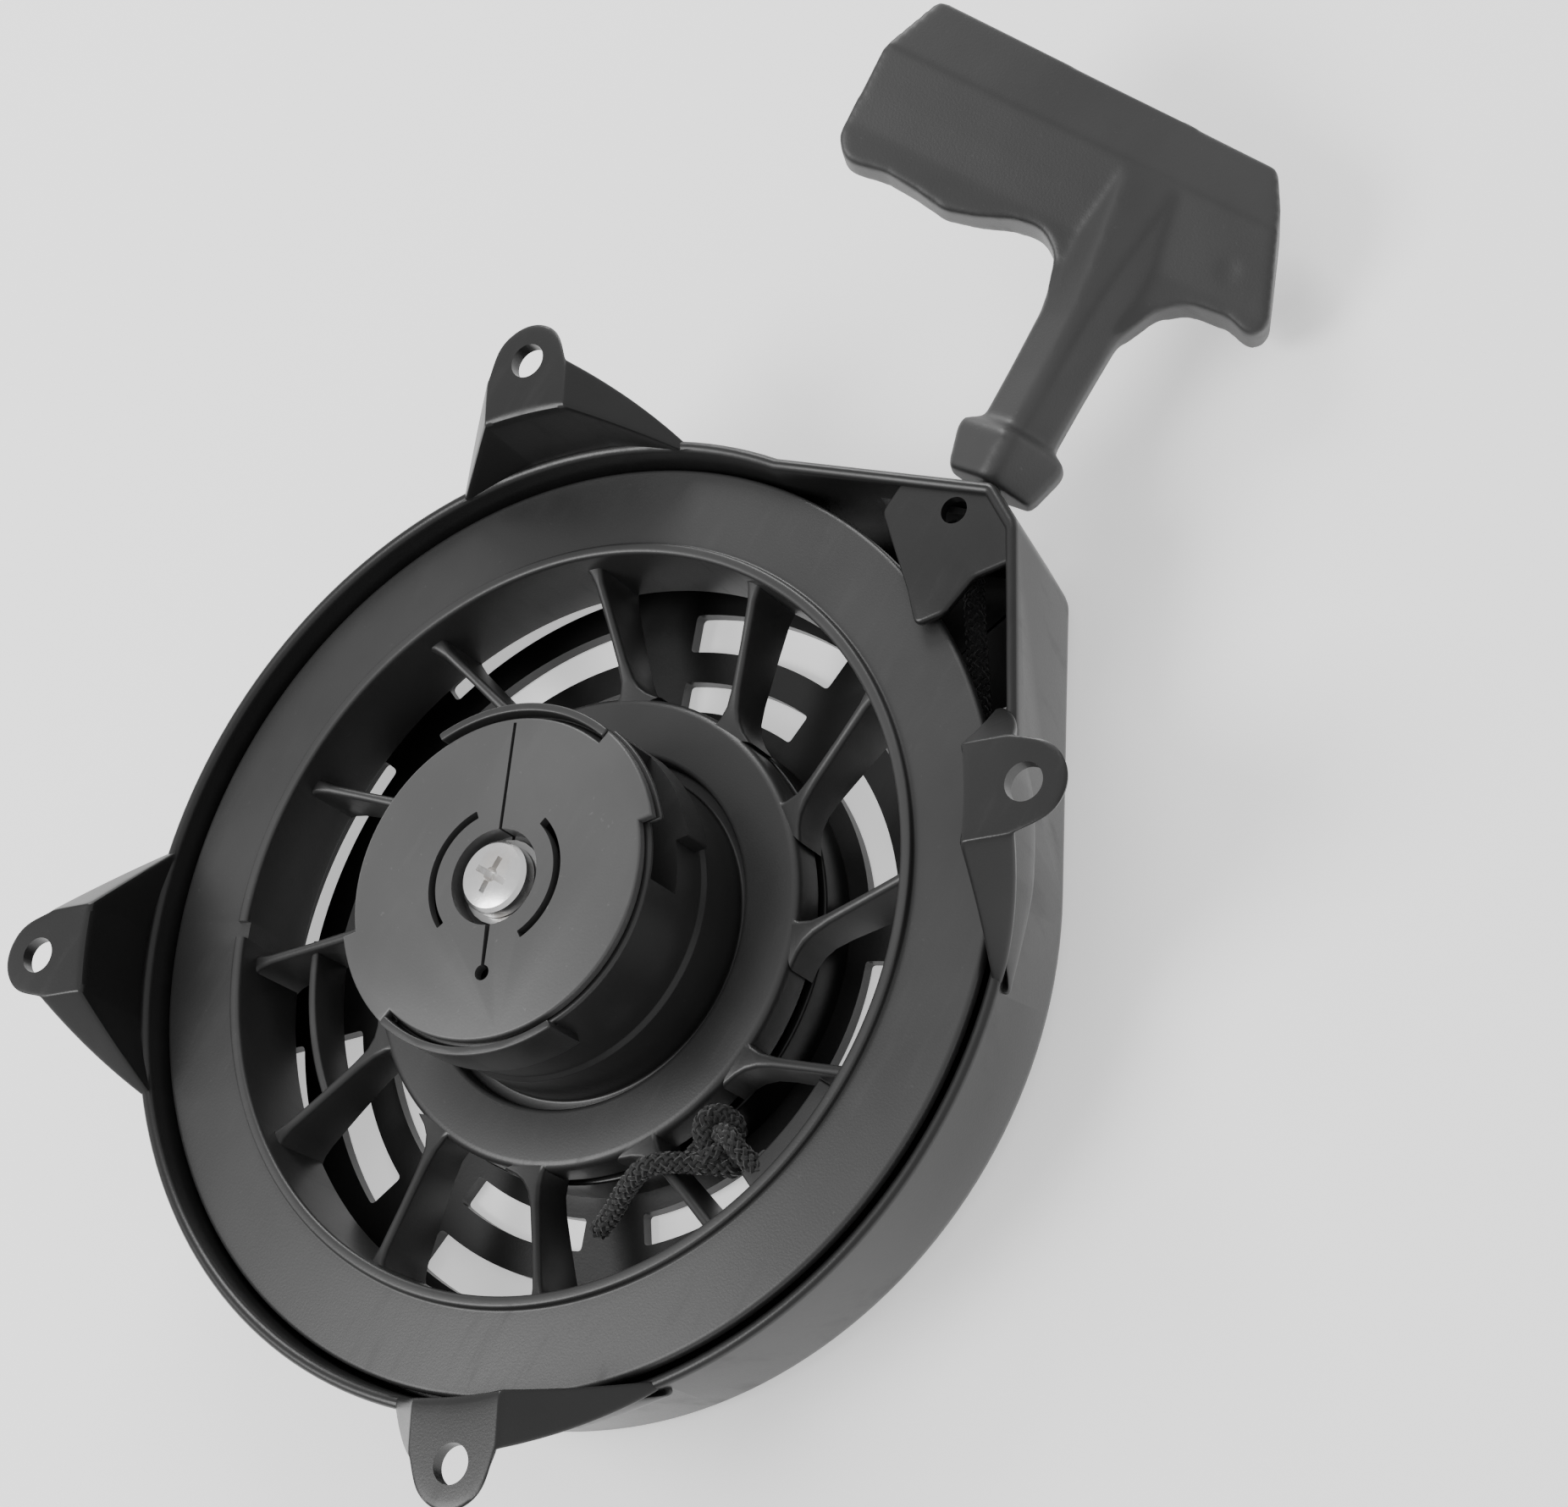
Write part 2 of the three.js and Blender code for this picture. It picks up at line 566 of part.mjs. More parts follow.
function ropeBush() {
  const half = BUSH.gap / 2;
  const end = half + BUSH.flange;
  const profile = [
    [3.7, -end], [BUSH.flangeR, -end], [BUSH.flangeR, -half], [BUSH.barrelR, -half],
    [BUSH.barrelR, half], [BUSH.flangeR, half], [BUSH.flangeR, end], [3.7, end], [2.8, half], [2.8, -half],
  ];
  return throughSpoutWall(turned(profile, 20));
}

// ---- pull handle ---------------------------------------------------------------------------

// Local axes: X is the grip's thickness, Y runs along its bar and Z is the way it is pulled.
const gripFrame = new THREE.Matrix4().makeBasis(
  new THREE.Vector3(0, -Math.sin(GRIP.twist * DEG), Math.cos(GRIP.twist * DEG)),
  new THREE.Vector3(0, -Math.cos(GRIP.twist * DEG), -Math.sin(GRIP.twist * DEG)),
  new THREE.Vector3(1, 0, 0),
).setPosition(...GRIP.origin);

const onGrip = (body) => body.transform(gripFrame.elements);

function gripBar() {
  const side = [
    [-52.6, 42.5], [-51.4, 59.5], [-48, GRIP.height], [17.6, GRIP.height - 1.5], [21, 64], [28.6, 45.2],
    [26.6, 42.2], [21.6, 44.2], [14, 43], [9.4, 38.5], [7, 34], [-6.3, 36], [-7.2, 41], [-12, 43.6],
    [-18, 42.8], [-24.6, 40.2], [-30, 39.2], [-36, 39.9], [-42, 40.4], [-49.6, 39],
  ];
  const across = 30;
  const outline = new THREE.ExtrudeGeometry(shapeOf(side), { depth: across, bevelEnabled: false });
  outline.translate(0, 0, -across / 2);
  outline.applyMatrix4(new THREE.Matrix4().makeBasis(
    new THREE.Vector3(0, 1, 0), new THREE.Vector3(0, 0, 1), new THREE.Vector3(1, 0, 0),
  ));
  const half = GRIP.halfThick;
  const section = [
    [-3, 30], [3, 30], [half - 1.5, 40], [half, 46], [half, GRIP.crease], [6.2, GRIP.height + 0.5],
    [-6.2, GRIP.height + 0.5], [-half, GRIP.crease], [-half, 46], [1.5 - half, 40],
  ];
  const along = new THREE.ExtrudeGeometry(shapeOf(section), { depth: 90, bevelEnabled: false });
  along.applyMatrix4(new THREE.Matrix4().makeBasis(
    new THREE.Vector3(1, 0, 0), new THREE.Vector3(0, 0, 1), new THREE.Vector3(0, -1, 0),
  ));
  along.applyMatrix4(new THREE.Matrix4().makeTranslation(0, 32, 0));
  return solid(outline).intersect(solid(along));
}

const diamond = (wide, deep, z) => [
  [deep, 1.6, z], [deep, -1.6, z], [-deep, 1.6, z], [-deep, -1.6, z],
  [2.2, wide, z], [-2.2, wide, z], [2.2, -wide, z], [-2.2, -wide, z],
];

function grip() {
  const collar = hull([...diamond(8, 7.2, 0), ...diamond(9.8, 8.8, 7.8), ...diamond(6.9, 6.4, 10.4)]);
  const stem = hull([...diamond(6.7, 6.2, 8), ...diamond(7.2, 7, 46)]);
  const bore = rod(ROPE_R + 0.5, -2, 70, 20);
  const pocket = rod(POCKET.r, POCKET.floor, 80, 28);
  const underFloor = box([90, -90, -20], [180, 40, 0.2]);
  return cut(onGrip(cut(join(collar, stem, gripBar()), bore, pocket)), underFloor);
}

function gripInsert() {
  const r = POCKET.r - CLEAR;
  return onGrip(turnedOnAxis([[0, 68.6], [r, 68.6], [r, 70], [r - 0.6, 70.6], [0, 70.6]], 28));
}

function gripWasher() {
  const [low, high] = [POCKET.floor + 0.2, POCKET.floor + 1];
  const hole = ROPE_R + 0.4;
  const r = POCKET.r - CLEAR;
  return onGrip(turned([[hole, low], [r, low], [r, high], [hole, high]], 28));
}

function gripKnot() {
  return onGrip(egg([0, 0, 65.2], [4.1, 4.3, 3.1]));
}

// ---- assembly ------------------------------------------------------------------------------

const coil = coilPoints();
place("starter_housing", housing(), housingBlack);
place("rope_bush", ropeBush(), plateGrey);
place("rewind_spring", rewindSpring(), springSteel);
place("pulley", pulley(), pulleyBlack);
for (const [name, turn] of [["a", 0], ["b", 180]]) {
  place(`pawl_${name}`, pawl().rotate([0, 0, turn]), plateGrey);
  place(`pawl_spring_${name}`, pawlSpring().rotate([0, 0, turn]), springSteel);
}
place("friction_spring", frictionSpring(), springSteel);
place("friction_plate", frictionPlate(), plateGrey);
place("friction_washer", frictionWasher(), springSteel);
place("centre_screw", centreScrew(), zincSteel);
place("rope_wound", rope(coil, coil.length - 1), ropeBlack);
place("rope_run", rope(runPoints(coil[coil.length - 1]), 16), ropeBlack);
place("rope_lead", rope(leadPoints(), 20), ropeBlack);
place("rope_knot_pulley", pulleyKnot(), ropeBlack);
place("rope_knot_handle", gripKnot(), ropeBlack);
place("pull_grip", grip(), gripBlack);
place("grip_insert", gripInsert(), gripBlack);
place("grip_washer", gripWasher(), zincSteel);

export default group;
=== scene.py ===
# %% [markdown]
# # A recoil starter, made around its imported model
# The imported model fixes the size, the place and the motion of every piece. This script keeps
# that frame, gives the visible pieces their finished shapes, and gives every surface a finish.
# Lengths are written in millimetres and turned into metres when a mesh is made.

# %% Load the frame
import math

import bmesh
import bpy
from mathutils import Matrix, Vector


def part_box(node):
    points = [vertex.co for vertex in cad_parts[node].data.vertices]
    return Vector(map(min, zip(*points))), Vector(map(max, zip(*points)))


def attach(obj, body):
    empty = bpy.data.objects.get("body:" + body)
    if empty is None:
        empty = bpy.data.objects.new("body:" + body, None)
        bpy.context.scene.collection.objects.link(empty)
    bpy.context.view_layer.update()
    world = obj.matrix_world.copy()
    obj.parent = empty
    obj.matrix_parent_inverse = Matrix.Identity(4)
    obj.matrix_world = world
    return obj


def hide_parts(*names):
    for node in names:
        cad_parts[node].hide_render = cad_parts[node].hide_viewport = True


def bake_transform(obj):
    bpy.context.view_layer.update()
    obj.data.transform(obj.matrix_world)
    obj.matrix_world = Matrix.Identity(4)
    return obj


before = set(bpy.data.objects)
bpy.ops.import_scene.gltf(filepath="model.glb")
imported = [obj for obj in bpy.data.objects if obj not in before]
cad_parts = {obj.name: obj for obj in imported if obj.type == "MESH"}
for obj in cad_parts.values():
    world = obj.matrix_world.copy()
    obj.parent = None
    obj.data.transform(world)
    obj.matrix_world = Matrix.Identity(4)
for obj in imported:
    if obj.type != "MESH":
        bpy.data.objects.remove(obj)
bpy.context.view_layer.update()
MM = 0.001


def high(node, axis):
    """The node's highest coordinate on an axis, in millimetres."""
    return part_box(node)[1][axis] / MM


LUG_TOP = high("starter_housing", 2)
RING_R = high("pulley", 0)
PLATE_TOP = high("friction_plate", 2)
print("lug height", round(LUG_TOP, 1), "pulley radius", round(RING_R, 1))
print("plate top", round(PLATE_TOP, 1))

# %% [markdown]
# ## Small tools for shapes
# Moulded plastic has no sharp edges, so the tools round them: `fillet` rounds the corners of a
# closed outline, `turned` spins one about Z, `loft` joins rings of points, and `slab` is a plate
# with rounded edges. A turned or lofted body is closed, so bodies can be joined and cut.


# %% Outlines
def polar(r, degrees):
    return (r * math.cos(math.radians(degrees)), r * math.sin(math.radians(degrees)))


def arc(r, start, end, step=3.0):
    count = max(1, math.ceil(abs(end - start) / step))
    return [polar(r, start + (end - start) * i / count) for i in range(count + 1)]


def fillet(points, radius, steps=4):
    """A closed outline with each corner rounded; radius is one value or one for each corner."""
    radii = radius if isinstance(radius, list) else [radius] * len(points)
    rounded = []
    for i, (point, r) in enumerate(zip(points, radii)):
        corner = Vector(point)
        before = Vector(points[i - 1]) - corner
        after = Vector(points[(i + 1) % len(points)]) - corner
        angle = before.angle(after)
        if r == 0 or angle > math.radians(172):
            rounded.append(tuple(corner))
            continue
        reach = min(r / math.tan(angle / 2), 0.45 * before.length, 0.45 * after.length)
        a, b = corner + before.normalized() * reach, corner + after.normalized() * reach
        for k in range(steps + 1):
            t = k / steps
            rounded.append(tuple(a * (1 - t) ** 2 + corner * 2 * t * (1 - t) + b * t * t))
    return rounded


def inset(points, distance):
    """A closed counter-clockwise outline moved inwards."""
    moved = []
    for i, point in enumerate(points):
        here = Vector(point)
        a = (here - Vector(points[i - 1])).normalized()
        b = (Vector(points[(i + 1) % len(points)]) - here).normalized()
        normal = Vector((-a.y - b.y, a.x + b.x))
        share = distance / max(0.35, 1 + a.dot(b))
        moved.append(tuple(here + normal * share))
    return moved


# %% Bodies
def body(name, points, faces):
    """A closed mesh object from points in millimetres, with its faces pointing outwards."""
    mesh = bpy.data.meshes.new(name)
    mesh.from_pydata([Vector(p) * MM for p in points], [], faces)
    work = bmesh.new()
    work.from_mesh(mesh)
    bmesh.ops.remove_doubles(work, verts=work.verts, dist=1e-7)
    bmesh.ops.recalc_face_normals(work, faces=work.faces)
    work.to_mesh(mesh)
    work.free()
    made = bpy.data.objects.new(name, mesh)
    bpy.context.scene.collection.objects.link(made)
    return made


def loft(name, rings, round_trip=False):
    """Joins rings of equally many points; the ends are capped, or joined for a round trip."""
    size = len(rings[0])
    points = [p for ring in rings for p in ring]
    faces = []
    for k in range(len(rings) - (0 if round_trip else 1)):
        low, top = k * size, (k + 1) % len(rings) * size
        for i in range(size):
            j = (i + 1) % size
            faces.append((low + i, low + j, top + j, top + i))
    if not round_trip:
        faces.append(tuple(range(size)))
        faces.append(tuple(range(len(points) - size, len(points))))
    return body(name, points, faces)


def turned(name, profile, segments=180):
    """A closed profile of (radius, height) points, turned about Z."""
    rings = []
    for k in range(segments):
        c, s = polar(1, 360 * k / segments)
        rings.append([(r * c, r * s, z) for r, z in profile])
    return loft(name, rings, round_trip=True)


def stack(name, outlines):
    """A body through (outline, height) pairs."""
    return loft(name, [[(x, y, z) for x, y in outline] for outline, z in outlines])


def slab(name, outline, low, top, edge=0.5, steps=3):
    """A plate with its upper and lower edges rounded."""
    levels = []
    for k in range(steps + 1):
        turn = math.pi / 2 * k / steps
        levels.append((inset(outline, edge * (1 - math.sin(turn))), low + edge * (1 - math.cos(turn))))
    for k in range(steps + 1):
        turn = math.pi / 2 * k / steps
        levels.append((inset(outline, edge * (1 - math.cos(turn))), top - edge * (1 - math.sin(turn))))
    return stack(name, levels)


def rod(name, r, low, top, at=(0, 0), segments=48, edge=0.0):
    outline = [(at[0] + x, at[1] + y) for x, y in arc(r, 0, 360 - 360 / segments, 360 / segments)]
    if edge:
        return slab(name, outline, low, top, edge)
    return stack(name, [(outline, low), (outline, top)])


def plain(name, outline, low, top):
    return stack(name, [(outline, low), (outline, top)])


def sector(name, inner, outer, start, end, low, top, corner=0.0, edge=0.0, step=2.0):
    """Part of a ring, seen from above between two angles."""
    near, far = arc(inner, end, start, step), arc(outer, start, end, step)
    outline = far + near
    if corner:
        radii = [0] * len(outline)
        for i in (0, len(far) - 1, len(far), len(outline) - 1):
            radii[i] = corner
        outline = fillet(outline, radii)
    return slab(name, outline, low, top, edge) if edge else plain(name, outline, low, top)


# %% Joining, cutting and settling
def settle(piece):
    """The piece with its modifiers applied, as a plain mesh."""
    graph = bpy.context.evaluated_depsgraph_get()
    mesh = bpy.data.meshes.new_from_object(piece.evaluated_get(graph))
    piece.modifiers.clear()
    old = piece.data
    piece.data = mesh
    if isinstance(old, bpy.types.Mesh):
        bpy.data.meshes.remove(old)
    return piece


def combine(base, others, operation):
    for other in others:
        step = base.modifiers.new(operation, "BOOLEAN")
        step.operation, step.solver, step.object = operation, "MANIFOLD", other
    settle(base)
    for other in others:
        bpy.data.objects.remove(other)
    return base


def join(base, *others):
    return combine(base, others, "UNION")


def cut(base, *others):
    return combine(base, others, "DIFFERENCE")


def moved(piece, matrix):
    piece.data.transform(matrix)
    if matrix.determinant() < 0:
        piece.data.flip_normals()
    return piece


def spun(piece, degrees):
    return moved(piece, Matrix.Rotation(math.radians(degrees), 4, "Z"))


def twin(piece, degrees):
    """A copy turned about Z."""
    copy = bpy.data.objects.new(piece.name + "_copy", piece.data.copy())
    bpy.context.scene.collection.objects.link(copy)
    return spun(copy, degrees)


def finished(piece, name, body_name, slot, material, *nodes, angle=35):
    """Names a piece, smooths its shading up to an angle, and joins it to the frame.
    A piece with no body name is left without a body."""
    piece.name = name
    mesh = piece.data
    mesh.materials.clear()
    mesh.materials.append(material)
    mesh.polygons.foreach_set("use_smooth", [True] * len(mesh.polygons))
    mesh.set_sharp_from_angle(angle=math.radians(angle))
    if body_name:
        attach(piece, body_name)
    if nodes:
        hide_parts(*nodes)
    print(name, len(mesh.polygons), "faces")
    return piece


# %% [markdown]
# ## Copies round the axis
# Spokes, grille slots and lugs repeat at equal angles. A Geometry Nodes tree places one shape on
# points that share the origin, turns each one a step further, and makes the copies real.


# %% The tree for copies
def tree_with(name, inputs):
    tree = bpy.data.node_groups.new(name, "GeometryNodeTree")
    tree.interface.new_socket("Geometry", in_out="INPUT", socket_type="NodeSocketGeometry")
    for label, kind in inputs:
        tree.interface.new_socket(label, in_out="INPUT", socket_type="NodeSocket" + kind)
    tree.interface.new_socket("Geometry", in_out="OUTPUT", socket_type="NodeSocketGeometry")
    return tree, tree.nodes.new("NodeGroupInput"), tree.nodes.new("NodeGroupOutput")


def add(tree, kind, links=(), **settings):
    """Adds a node, sets it, then fills its sockets by name or number."""
    node = tree.nodes.new(kind)
    for key, value in settings.items():
        setattr(node, key, value)
    for socket, value in dict(links).items():
        if isinstance(value, bpy.types.NodeSocket):
            tree.links.new(value, node.inputs[socket])
        else:
            node.inputs[socket].default_value = value
    return node


def run(piece, tree, material, **values):
    """Runs a tree on a piece with its inputs set by name, and keeps the result as a mesh."""
    step = piece.modifiers.new(tree.name, "NODES")
    step.node_group = tree
    names = {item.name: item.identifier for item in tree.interface.items_tree if item.in_out == "INPUT"}
    for key, value in {**values, "Material": material}.items():
        step[names[key]] = value
    return settle(piece)


round_tree, entry, leave = tree_with("copies round the axis", [
    ("Count", "Int"), ("First", "Float"), ("Material", "Material")])
points = add(round_tree, "GeometryNodePoints", {"Count": entry.outputs["Count"]})
step_angle = add(
    round_tree, "ShaderNodeMath", {0: math.tau, 1: entry.outputs["Count"]}, operation="DIVIDE")
index = add(round_tree, "GeometryNodeInputIndex")
turn = add(round_tree, "ShaderNodeMath", {
    0: index.outputs[0], 1: step_angle.outputs[0], 2: entry.outputs["First"]}, operation="MULTIPLY_ADD")
rotation = add(round_tree, "ShaderNodeCombineXYZ", {"Z": turn.outputs[0]})
copies = add(round_tree, "GeometryNodeInstanceOnPoints", {
    "Points": points.outputs[0], "Instance": entry.outputs["Geometry"], "Rotation": rotation.outputs[0]})
real = add(round_tree, "GeometryNodeRealizeInstances", {0: copies.outputs[0]})
coated = add(round_tree, "GeometryNodeSetMaterial", {
    0: real.outputs[0], "Material": entry.outputs["Material"]})
round_tree.links.new(coated.outputs[0], leave.inputs[0])


def repeated(piece, count, first=0.0):
    return run(piece, round_tree, None, Count=count, First=math.radians(first))


# %% [markdown]
# ## Finishes
# Shader maths is written as Python: a wrapped socket can be added, subtracted and multiplied, and
# each expression adds its Math nodes. Every finish reads Object coordinates.


# %% Shader tools
class Value:
    """A shader socket that can be used in sums."""

    def __init__(self, shade, socket):
        self.shade = shade
        self.socket = socket

    def math(self, operation, *others):
        sockets = [other.socket if isinstance(other, Value) else other for other in others]
        inputs = dict(enumerate([self.socket, *sockets]))
        node = self.shade.node("ShaderNodeMath", inputs, operation=operation)
        return Value(self.shade, node.outputs[0])

    def __add__(self, other):
        return self.math("ADD", other)

    def __sub__(self, other):
        return self.math("SUBTRACT", other)

    def __mul__(self, other):
        return self.math("MULTIPLY", other)

    __radd__ = __add__
    __rmul__ = __mul__

    def __rsub__(self, other):
        return (self * -1) + other

    def sine(self):
        return self.math("SINE")

    def band(self, low, top):
        """0 below low, 1 above top, smooth between."""
        node = self.shade.node("ShaderNodeMapRange", {
            "Value": self.socket, "From Min": low, "From Max": top}, interpolation_type="SMOOTHSTEP")
        return Value(self.shade, node.outputs["Result"])


class Shade:
    """A material with one Principled shader."""

    def __init__(self, name, **sockets):
        self.material = bpy.data.materials.new(name)
        self.material.use_nodes = True
        self.tree = self.material.node_tree
        self.shader = self.tree.nodes["Principled BSDF"]
        for key, value in sockets.items():
            self.shader.inputs[key.replace("_", " ")].default_value = value
        self.place = self.node("ShaderNodeTexCoord").outputs["Object"]

    def node(self, kind, sockets=(), **settings):
        return add(self.tree, kind, sockets, **settings)

    def noise(self, scale, detail=3.0, roughness=0.5, stretch=(1, 1, 1)):
        mapping = self.node("ShaderNodeMapping", {"Vector": self.place, "Scale": stretch})
        node = self.node("ShaderNodeTexNoise", {
            "Vector": mapping.outputs[0], "Scale": scale, "Detail": detail, "Roughness": roughness})
        return Value(self, node.outputs["Fac"])

    def uv(self, axis):
        node = self.node("ShaderNodeSeparateXYZ", {0: self.node("ShaderNodeUVMap").outputs[0]})
        return Value(self, node.outputs[axis])

    def blend(self, factor, low, top):
        sockets = {"Factor": factor.socket if isinstance(factor, Value) else factor, 6: low, 7: top}
        return self.node("ShaderNodeMix", sockets, data_type="RGBA").outputs[2]

    def colour(self, socket):
        self.tree.links.new(socket, self.shader.inputs["Base Color"])

    def rough(self, value):
        self.tree.links.new(value.socket, self.shader.inputs["Roughness"])

    def bump(self, height, distance, strength=1.0):
        node = self.node("ShaderNodeBump", {
            "Height": height.socket, "Distance": distance, "Strength": strength})
        self.tree.links.new(node.outputs[0], self.shader.inputs["Normal"])


def grey(value, warmth=0.0):
    return (value * (1 + warmth), value, value * (1 - warmth), 1)


# %% Moulded plastic
def moulded(name, dark, light, roughness, grain=0.00003):
    """Satin moulded nylon: a fine grain, slow changes of tone, and faint rubbed streaks."""
    shade = Shade(name, **{"IOR": 1.5})
    tone = shade.noise(28, 4).band(0.3, 0.7)
    streaks = shade.noise(60, 5, 0.6, (1, 6, 1)).band(0.52, 0.75)
    fine = shade.noise(2600, 2)
    dust = shade.noise(900, 3).band(0.68, 0.8)
    base = shade.blend(tone, grey(dark), grey(light))
    base = shade.blend(dust * 0.35, base, grey(light * 2.2))
    shade.colour(base)
    shade.rough(tone * 0.05 + streaks * 0.07 + fine * 0.06 + (roughness - 0.06))
    shade.bump(fine + tone * 0.4, grain, 0.5)
    return shade.material


HOUSING = moulded("satin black moulding", 0.0075, 0.011, 0.36)
PULLEY = moulded("pulley charcoal moulding", 0.022, 0.030, 0.40)
PLATE = moulded("plate grey moulding", 0.062, 0.076, 0.42)
GRIP = moulded("grip black moulding", 0.026, 0.035, 0.46, 0.00005)


# %% Steel
def steel(name, dark, light, roughness, stretch):
    """Rolled or plated steel: bright metal with fine drawn lines and a few dull patches."""
    shade = Shade(name, Metallic=1.0)
    lines = shade.noise(1500, 4, 0.6, stretch)
    patches = shade.noise(180, 3).band(0.45, 0.7)
    shade.colour(shade.blend(patches, grey(light), grey(dark, 0.03)))
    shade.rough(lines * 0.12 + patches * 0.12 + roughness)
    shade.bump(lines, 0.00002, 0.6)
    return shade.material


SPRING_STEEL = steel("oiled spring steel", 0.22, 0.36, 0.25, (1, 1, 8))
ZINC = steel("bright zinc plate", 0.66, 0.86, 0.18, (1, 1, 1))


# %% Rope
def rope_finish(name, woven):
    """Black braided nylon with paler flecks; woven adds the braid as a pattern along the rope."""
    shade = Shade(name, **{"Roughness": 0.85, "Sheen Weight": 0.35, "Sheen Roughness": 0.5})
    fleck = shade.noise(1400, 3, 0.6).band(0.55, 0.68)
    shade.colour(shade.blend(fleck * 0.6, grey(0.008), grey(0.05)))
    fibres = shade.noise(5200, 2)
    if woven:
        along, around = shade.uv("X"), shade.uv("Y")
        weave = (along * 900 + around * 50.2).sine() * (along * 900 - around * 50.2).sine()
        shade.bump(weave + fibres * 0.3, 0.0003)
    else:
        shade.bump(fibres, 0.00006)
    return shade.material


ROPE = rope_finish("braided black rope", woven=False)
ROPE_WOUND = rope_finish("wound braided rope", woven=True)
print("finishes:", len(bpy.data.materials))

# %% [markdown]
# ## The housing
# The real housing is one moulding: a drafted bowl with a rounded rim, a spout where the rope
# leaves, a grille, and four hollow lugs. The bowl is lofted through rings that follow its
# section, so the rim can be lower on the near side, and the rest is joined to it or cut from it.

# %% Housing sizes
BOWL_R, WALL, FLOOR, DRAFT, FOOT_R = 86.5, 2.3, 2.5, 0.045, 5.0
RIM, NEAR_RIM, NEAR_ARC = 32.0, 27.0, (-138.0, -33.0)
SPOUT = [(91.5, -46.5), (96.2, -38.5), (87.2, 4.0)]
LUG_R, LUG_HOLE, LUG_END, LUG_HALF, LUG_FIRST = 96.6, 3.25, 7.6, 8.2, 31.7
WING_HALF, LUG_WALL, LUG_INNER = 24.0, 2.5, 85.7
WING_DROP, TIP_INSET, END_SQUARE = 1.6, 1.6, 1.5
GRILLE_ROWS = [(46.5, 52.2), (58.0, 65.3), (71.0, 76.0)]
GRILLE_SLOTS, GRILLE_AT, GRILLE_HALF = 8, 7.6, 15.5
POST_R, POST_TOP, SCREW_HOLE_R = 8, 38, 3.05
GUARD = [
    (84.6, -20.8), (91.4, -21.4), (94.4, -38.6), (90.4, -45.6), (85.7, -49.2), (80.3, -43.7),
    (72.9, -42), (69.1, -38), (74.1, -33.1)]
GUARD_ROUNDS = [2, 1, 2, 1, 1, 3, 3, 1.5, 1.5]
GUARD_LOW, GUARD_TOP, GUARD_HOLE, GUARD_HOLE_R = 29.2, 31, (89.4, -33.8), 2.4
BUSH, BUSH_HOLE_R, BUSH_TURN, BUSH_LEAN = Vector((91.8, -30.2, 20)), 4.9, 12, 96.9


def smooth_step(value, low, top):
    t = min(1.0, max(0.0, (value - low) / (top - low)))
    return t * t * (3 - 2 * t)


def rim_height(x, y):
    """The rim steps down, softly, along the side where the pulley lies open."""
    angle = math.degrees(math.atan2(y, x))
    start, end = NEAR_ARC
    low = smooth_step(angle, start - 4, start + 4) * (1 - smooth_step(angle, end - 3, end + 3))
    return RIM + (NEAR_RIM - RIM) * low


# %% The bowl
def bowl():
    outline = fillet(arc(BOWL_R, 2.6, 300.6, 2) + SPOUT[:2], [0] * 150 + [5.0, 3.0], 5)
    section = []
    for k in range(7):
        turn = math.pi / 2 * k / 6
        section.append((FOOT_R * (1 - math.sin(turn)), FOOT_R * (1 - math.cos(turn)), 0))
    half = WALL / 2
    for k in range(9):
        turn = math.pi * k / 8
        section.append((half - half * math.cos(turn), half * math.sin(turn) - half, 1))
    section += [(WALL, FLOOR + 2.5, 0), (WALL + 0.8, FLOOR + 0.8, 0), (WALL + 2.5, FLOOR, 0)]
    rings = []
    for distance, height, from_rim in section:
        ring = []
        for (x, y), (ox, oy) in zip(inset(outline, distance), outline):
            z = height + from_rim * rim_height(ox, oy)
            scale = 1 - DRAFT * (1 - z / RIM)
            ring.append((x * scale, y * scale, z))
        rings.append(ring)
    return loft("bowl", rings)


# %% A lug
def lug(right_end, left_end):
    """A flat ear whose skin folds down into the rim on both sides, open underneath."""
    rows = []
    half_stations = [0, 2.5, 5, 6.8, 7.9, LUG_HALF, 9.2, 12, 16, 20, 23, WING_HALF]
    for y in [-s for s in half_stations[:0:-1]] + half_stations:
        side = abs(y)
        t = max(0.0, (side - LUG_HALF) / (WING_HALF - LUG_HALF))
        inner = math.sqrt((LUG_INNER - TIP_INSET * t) ** 2 - y * y)
        if side <= LUG_HALF:
            top, reach = LUG_TOP, LUG_R + math.sqrt(max(0.0, LUG_END ** 2 - side ** 2))
            reach -= END_SQUARE * smooth_step(side, 7.0, LUG_HALF)
        else:
            top = LUG_TOP + ((left_end if y > 0 else right_end) - LUG_TOP) * t
            reach = LUG_R - END_SQUARE + (inner + TIP_INSET - LUG_R + END_SQUARE) * t
        foot = NEAR_RIM - 4
        middle = (inner + reach) / 2
        rows.append([
            (inner, y, foot), (inner, y, foot + (top - foot) * 0.55), (inner + 0.1, y, top - 0.5),
            (inner + 0.6, y, top), (middle, y, top), (reach - 0.5, y, top), (reach, y, top - 0.3),
        ])
    points = [p for row in rows for p in row]
    width = len(rows[0])
    faces = []
    for k in range(len(rows) - 1):
        for i in range(width - 1):
            a = k * width + i
            faces.append((a, a + 1, a + width + 1, a + width))
    skin = body("lug", points, faces)
    wall = skin.modifiers.new("wall", "SOLIDIFY")
    wall.thickness, wall.offset, wall.use_even_offset = LUG_WALL * MM, -1.0, False
    if skin.data.polygons[0].normal.x > 0:
        skin.data.flip_normals()
    soft = skin.modifiers.new("soft", "SUBSURF")
    soft.levels = soft.render_levels = 2
    return settle(skin)


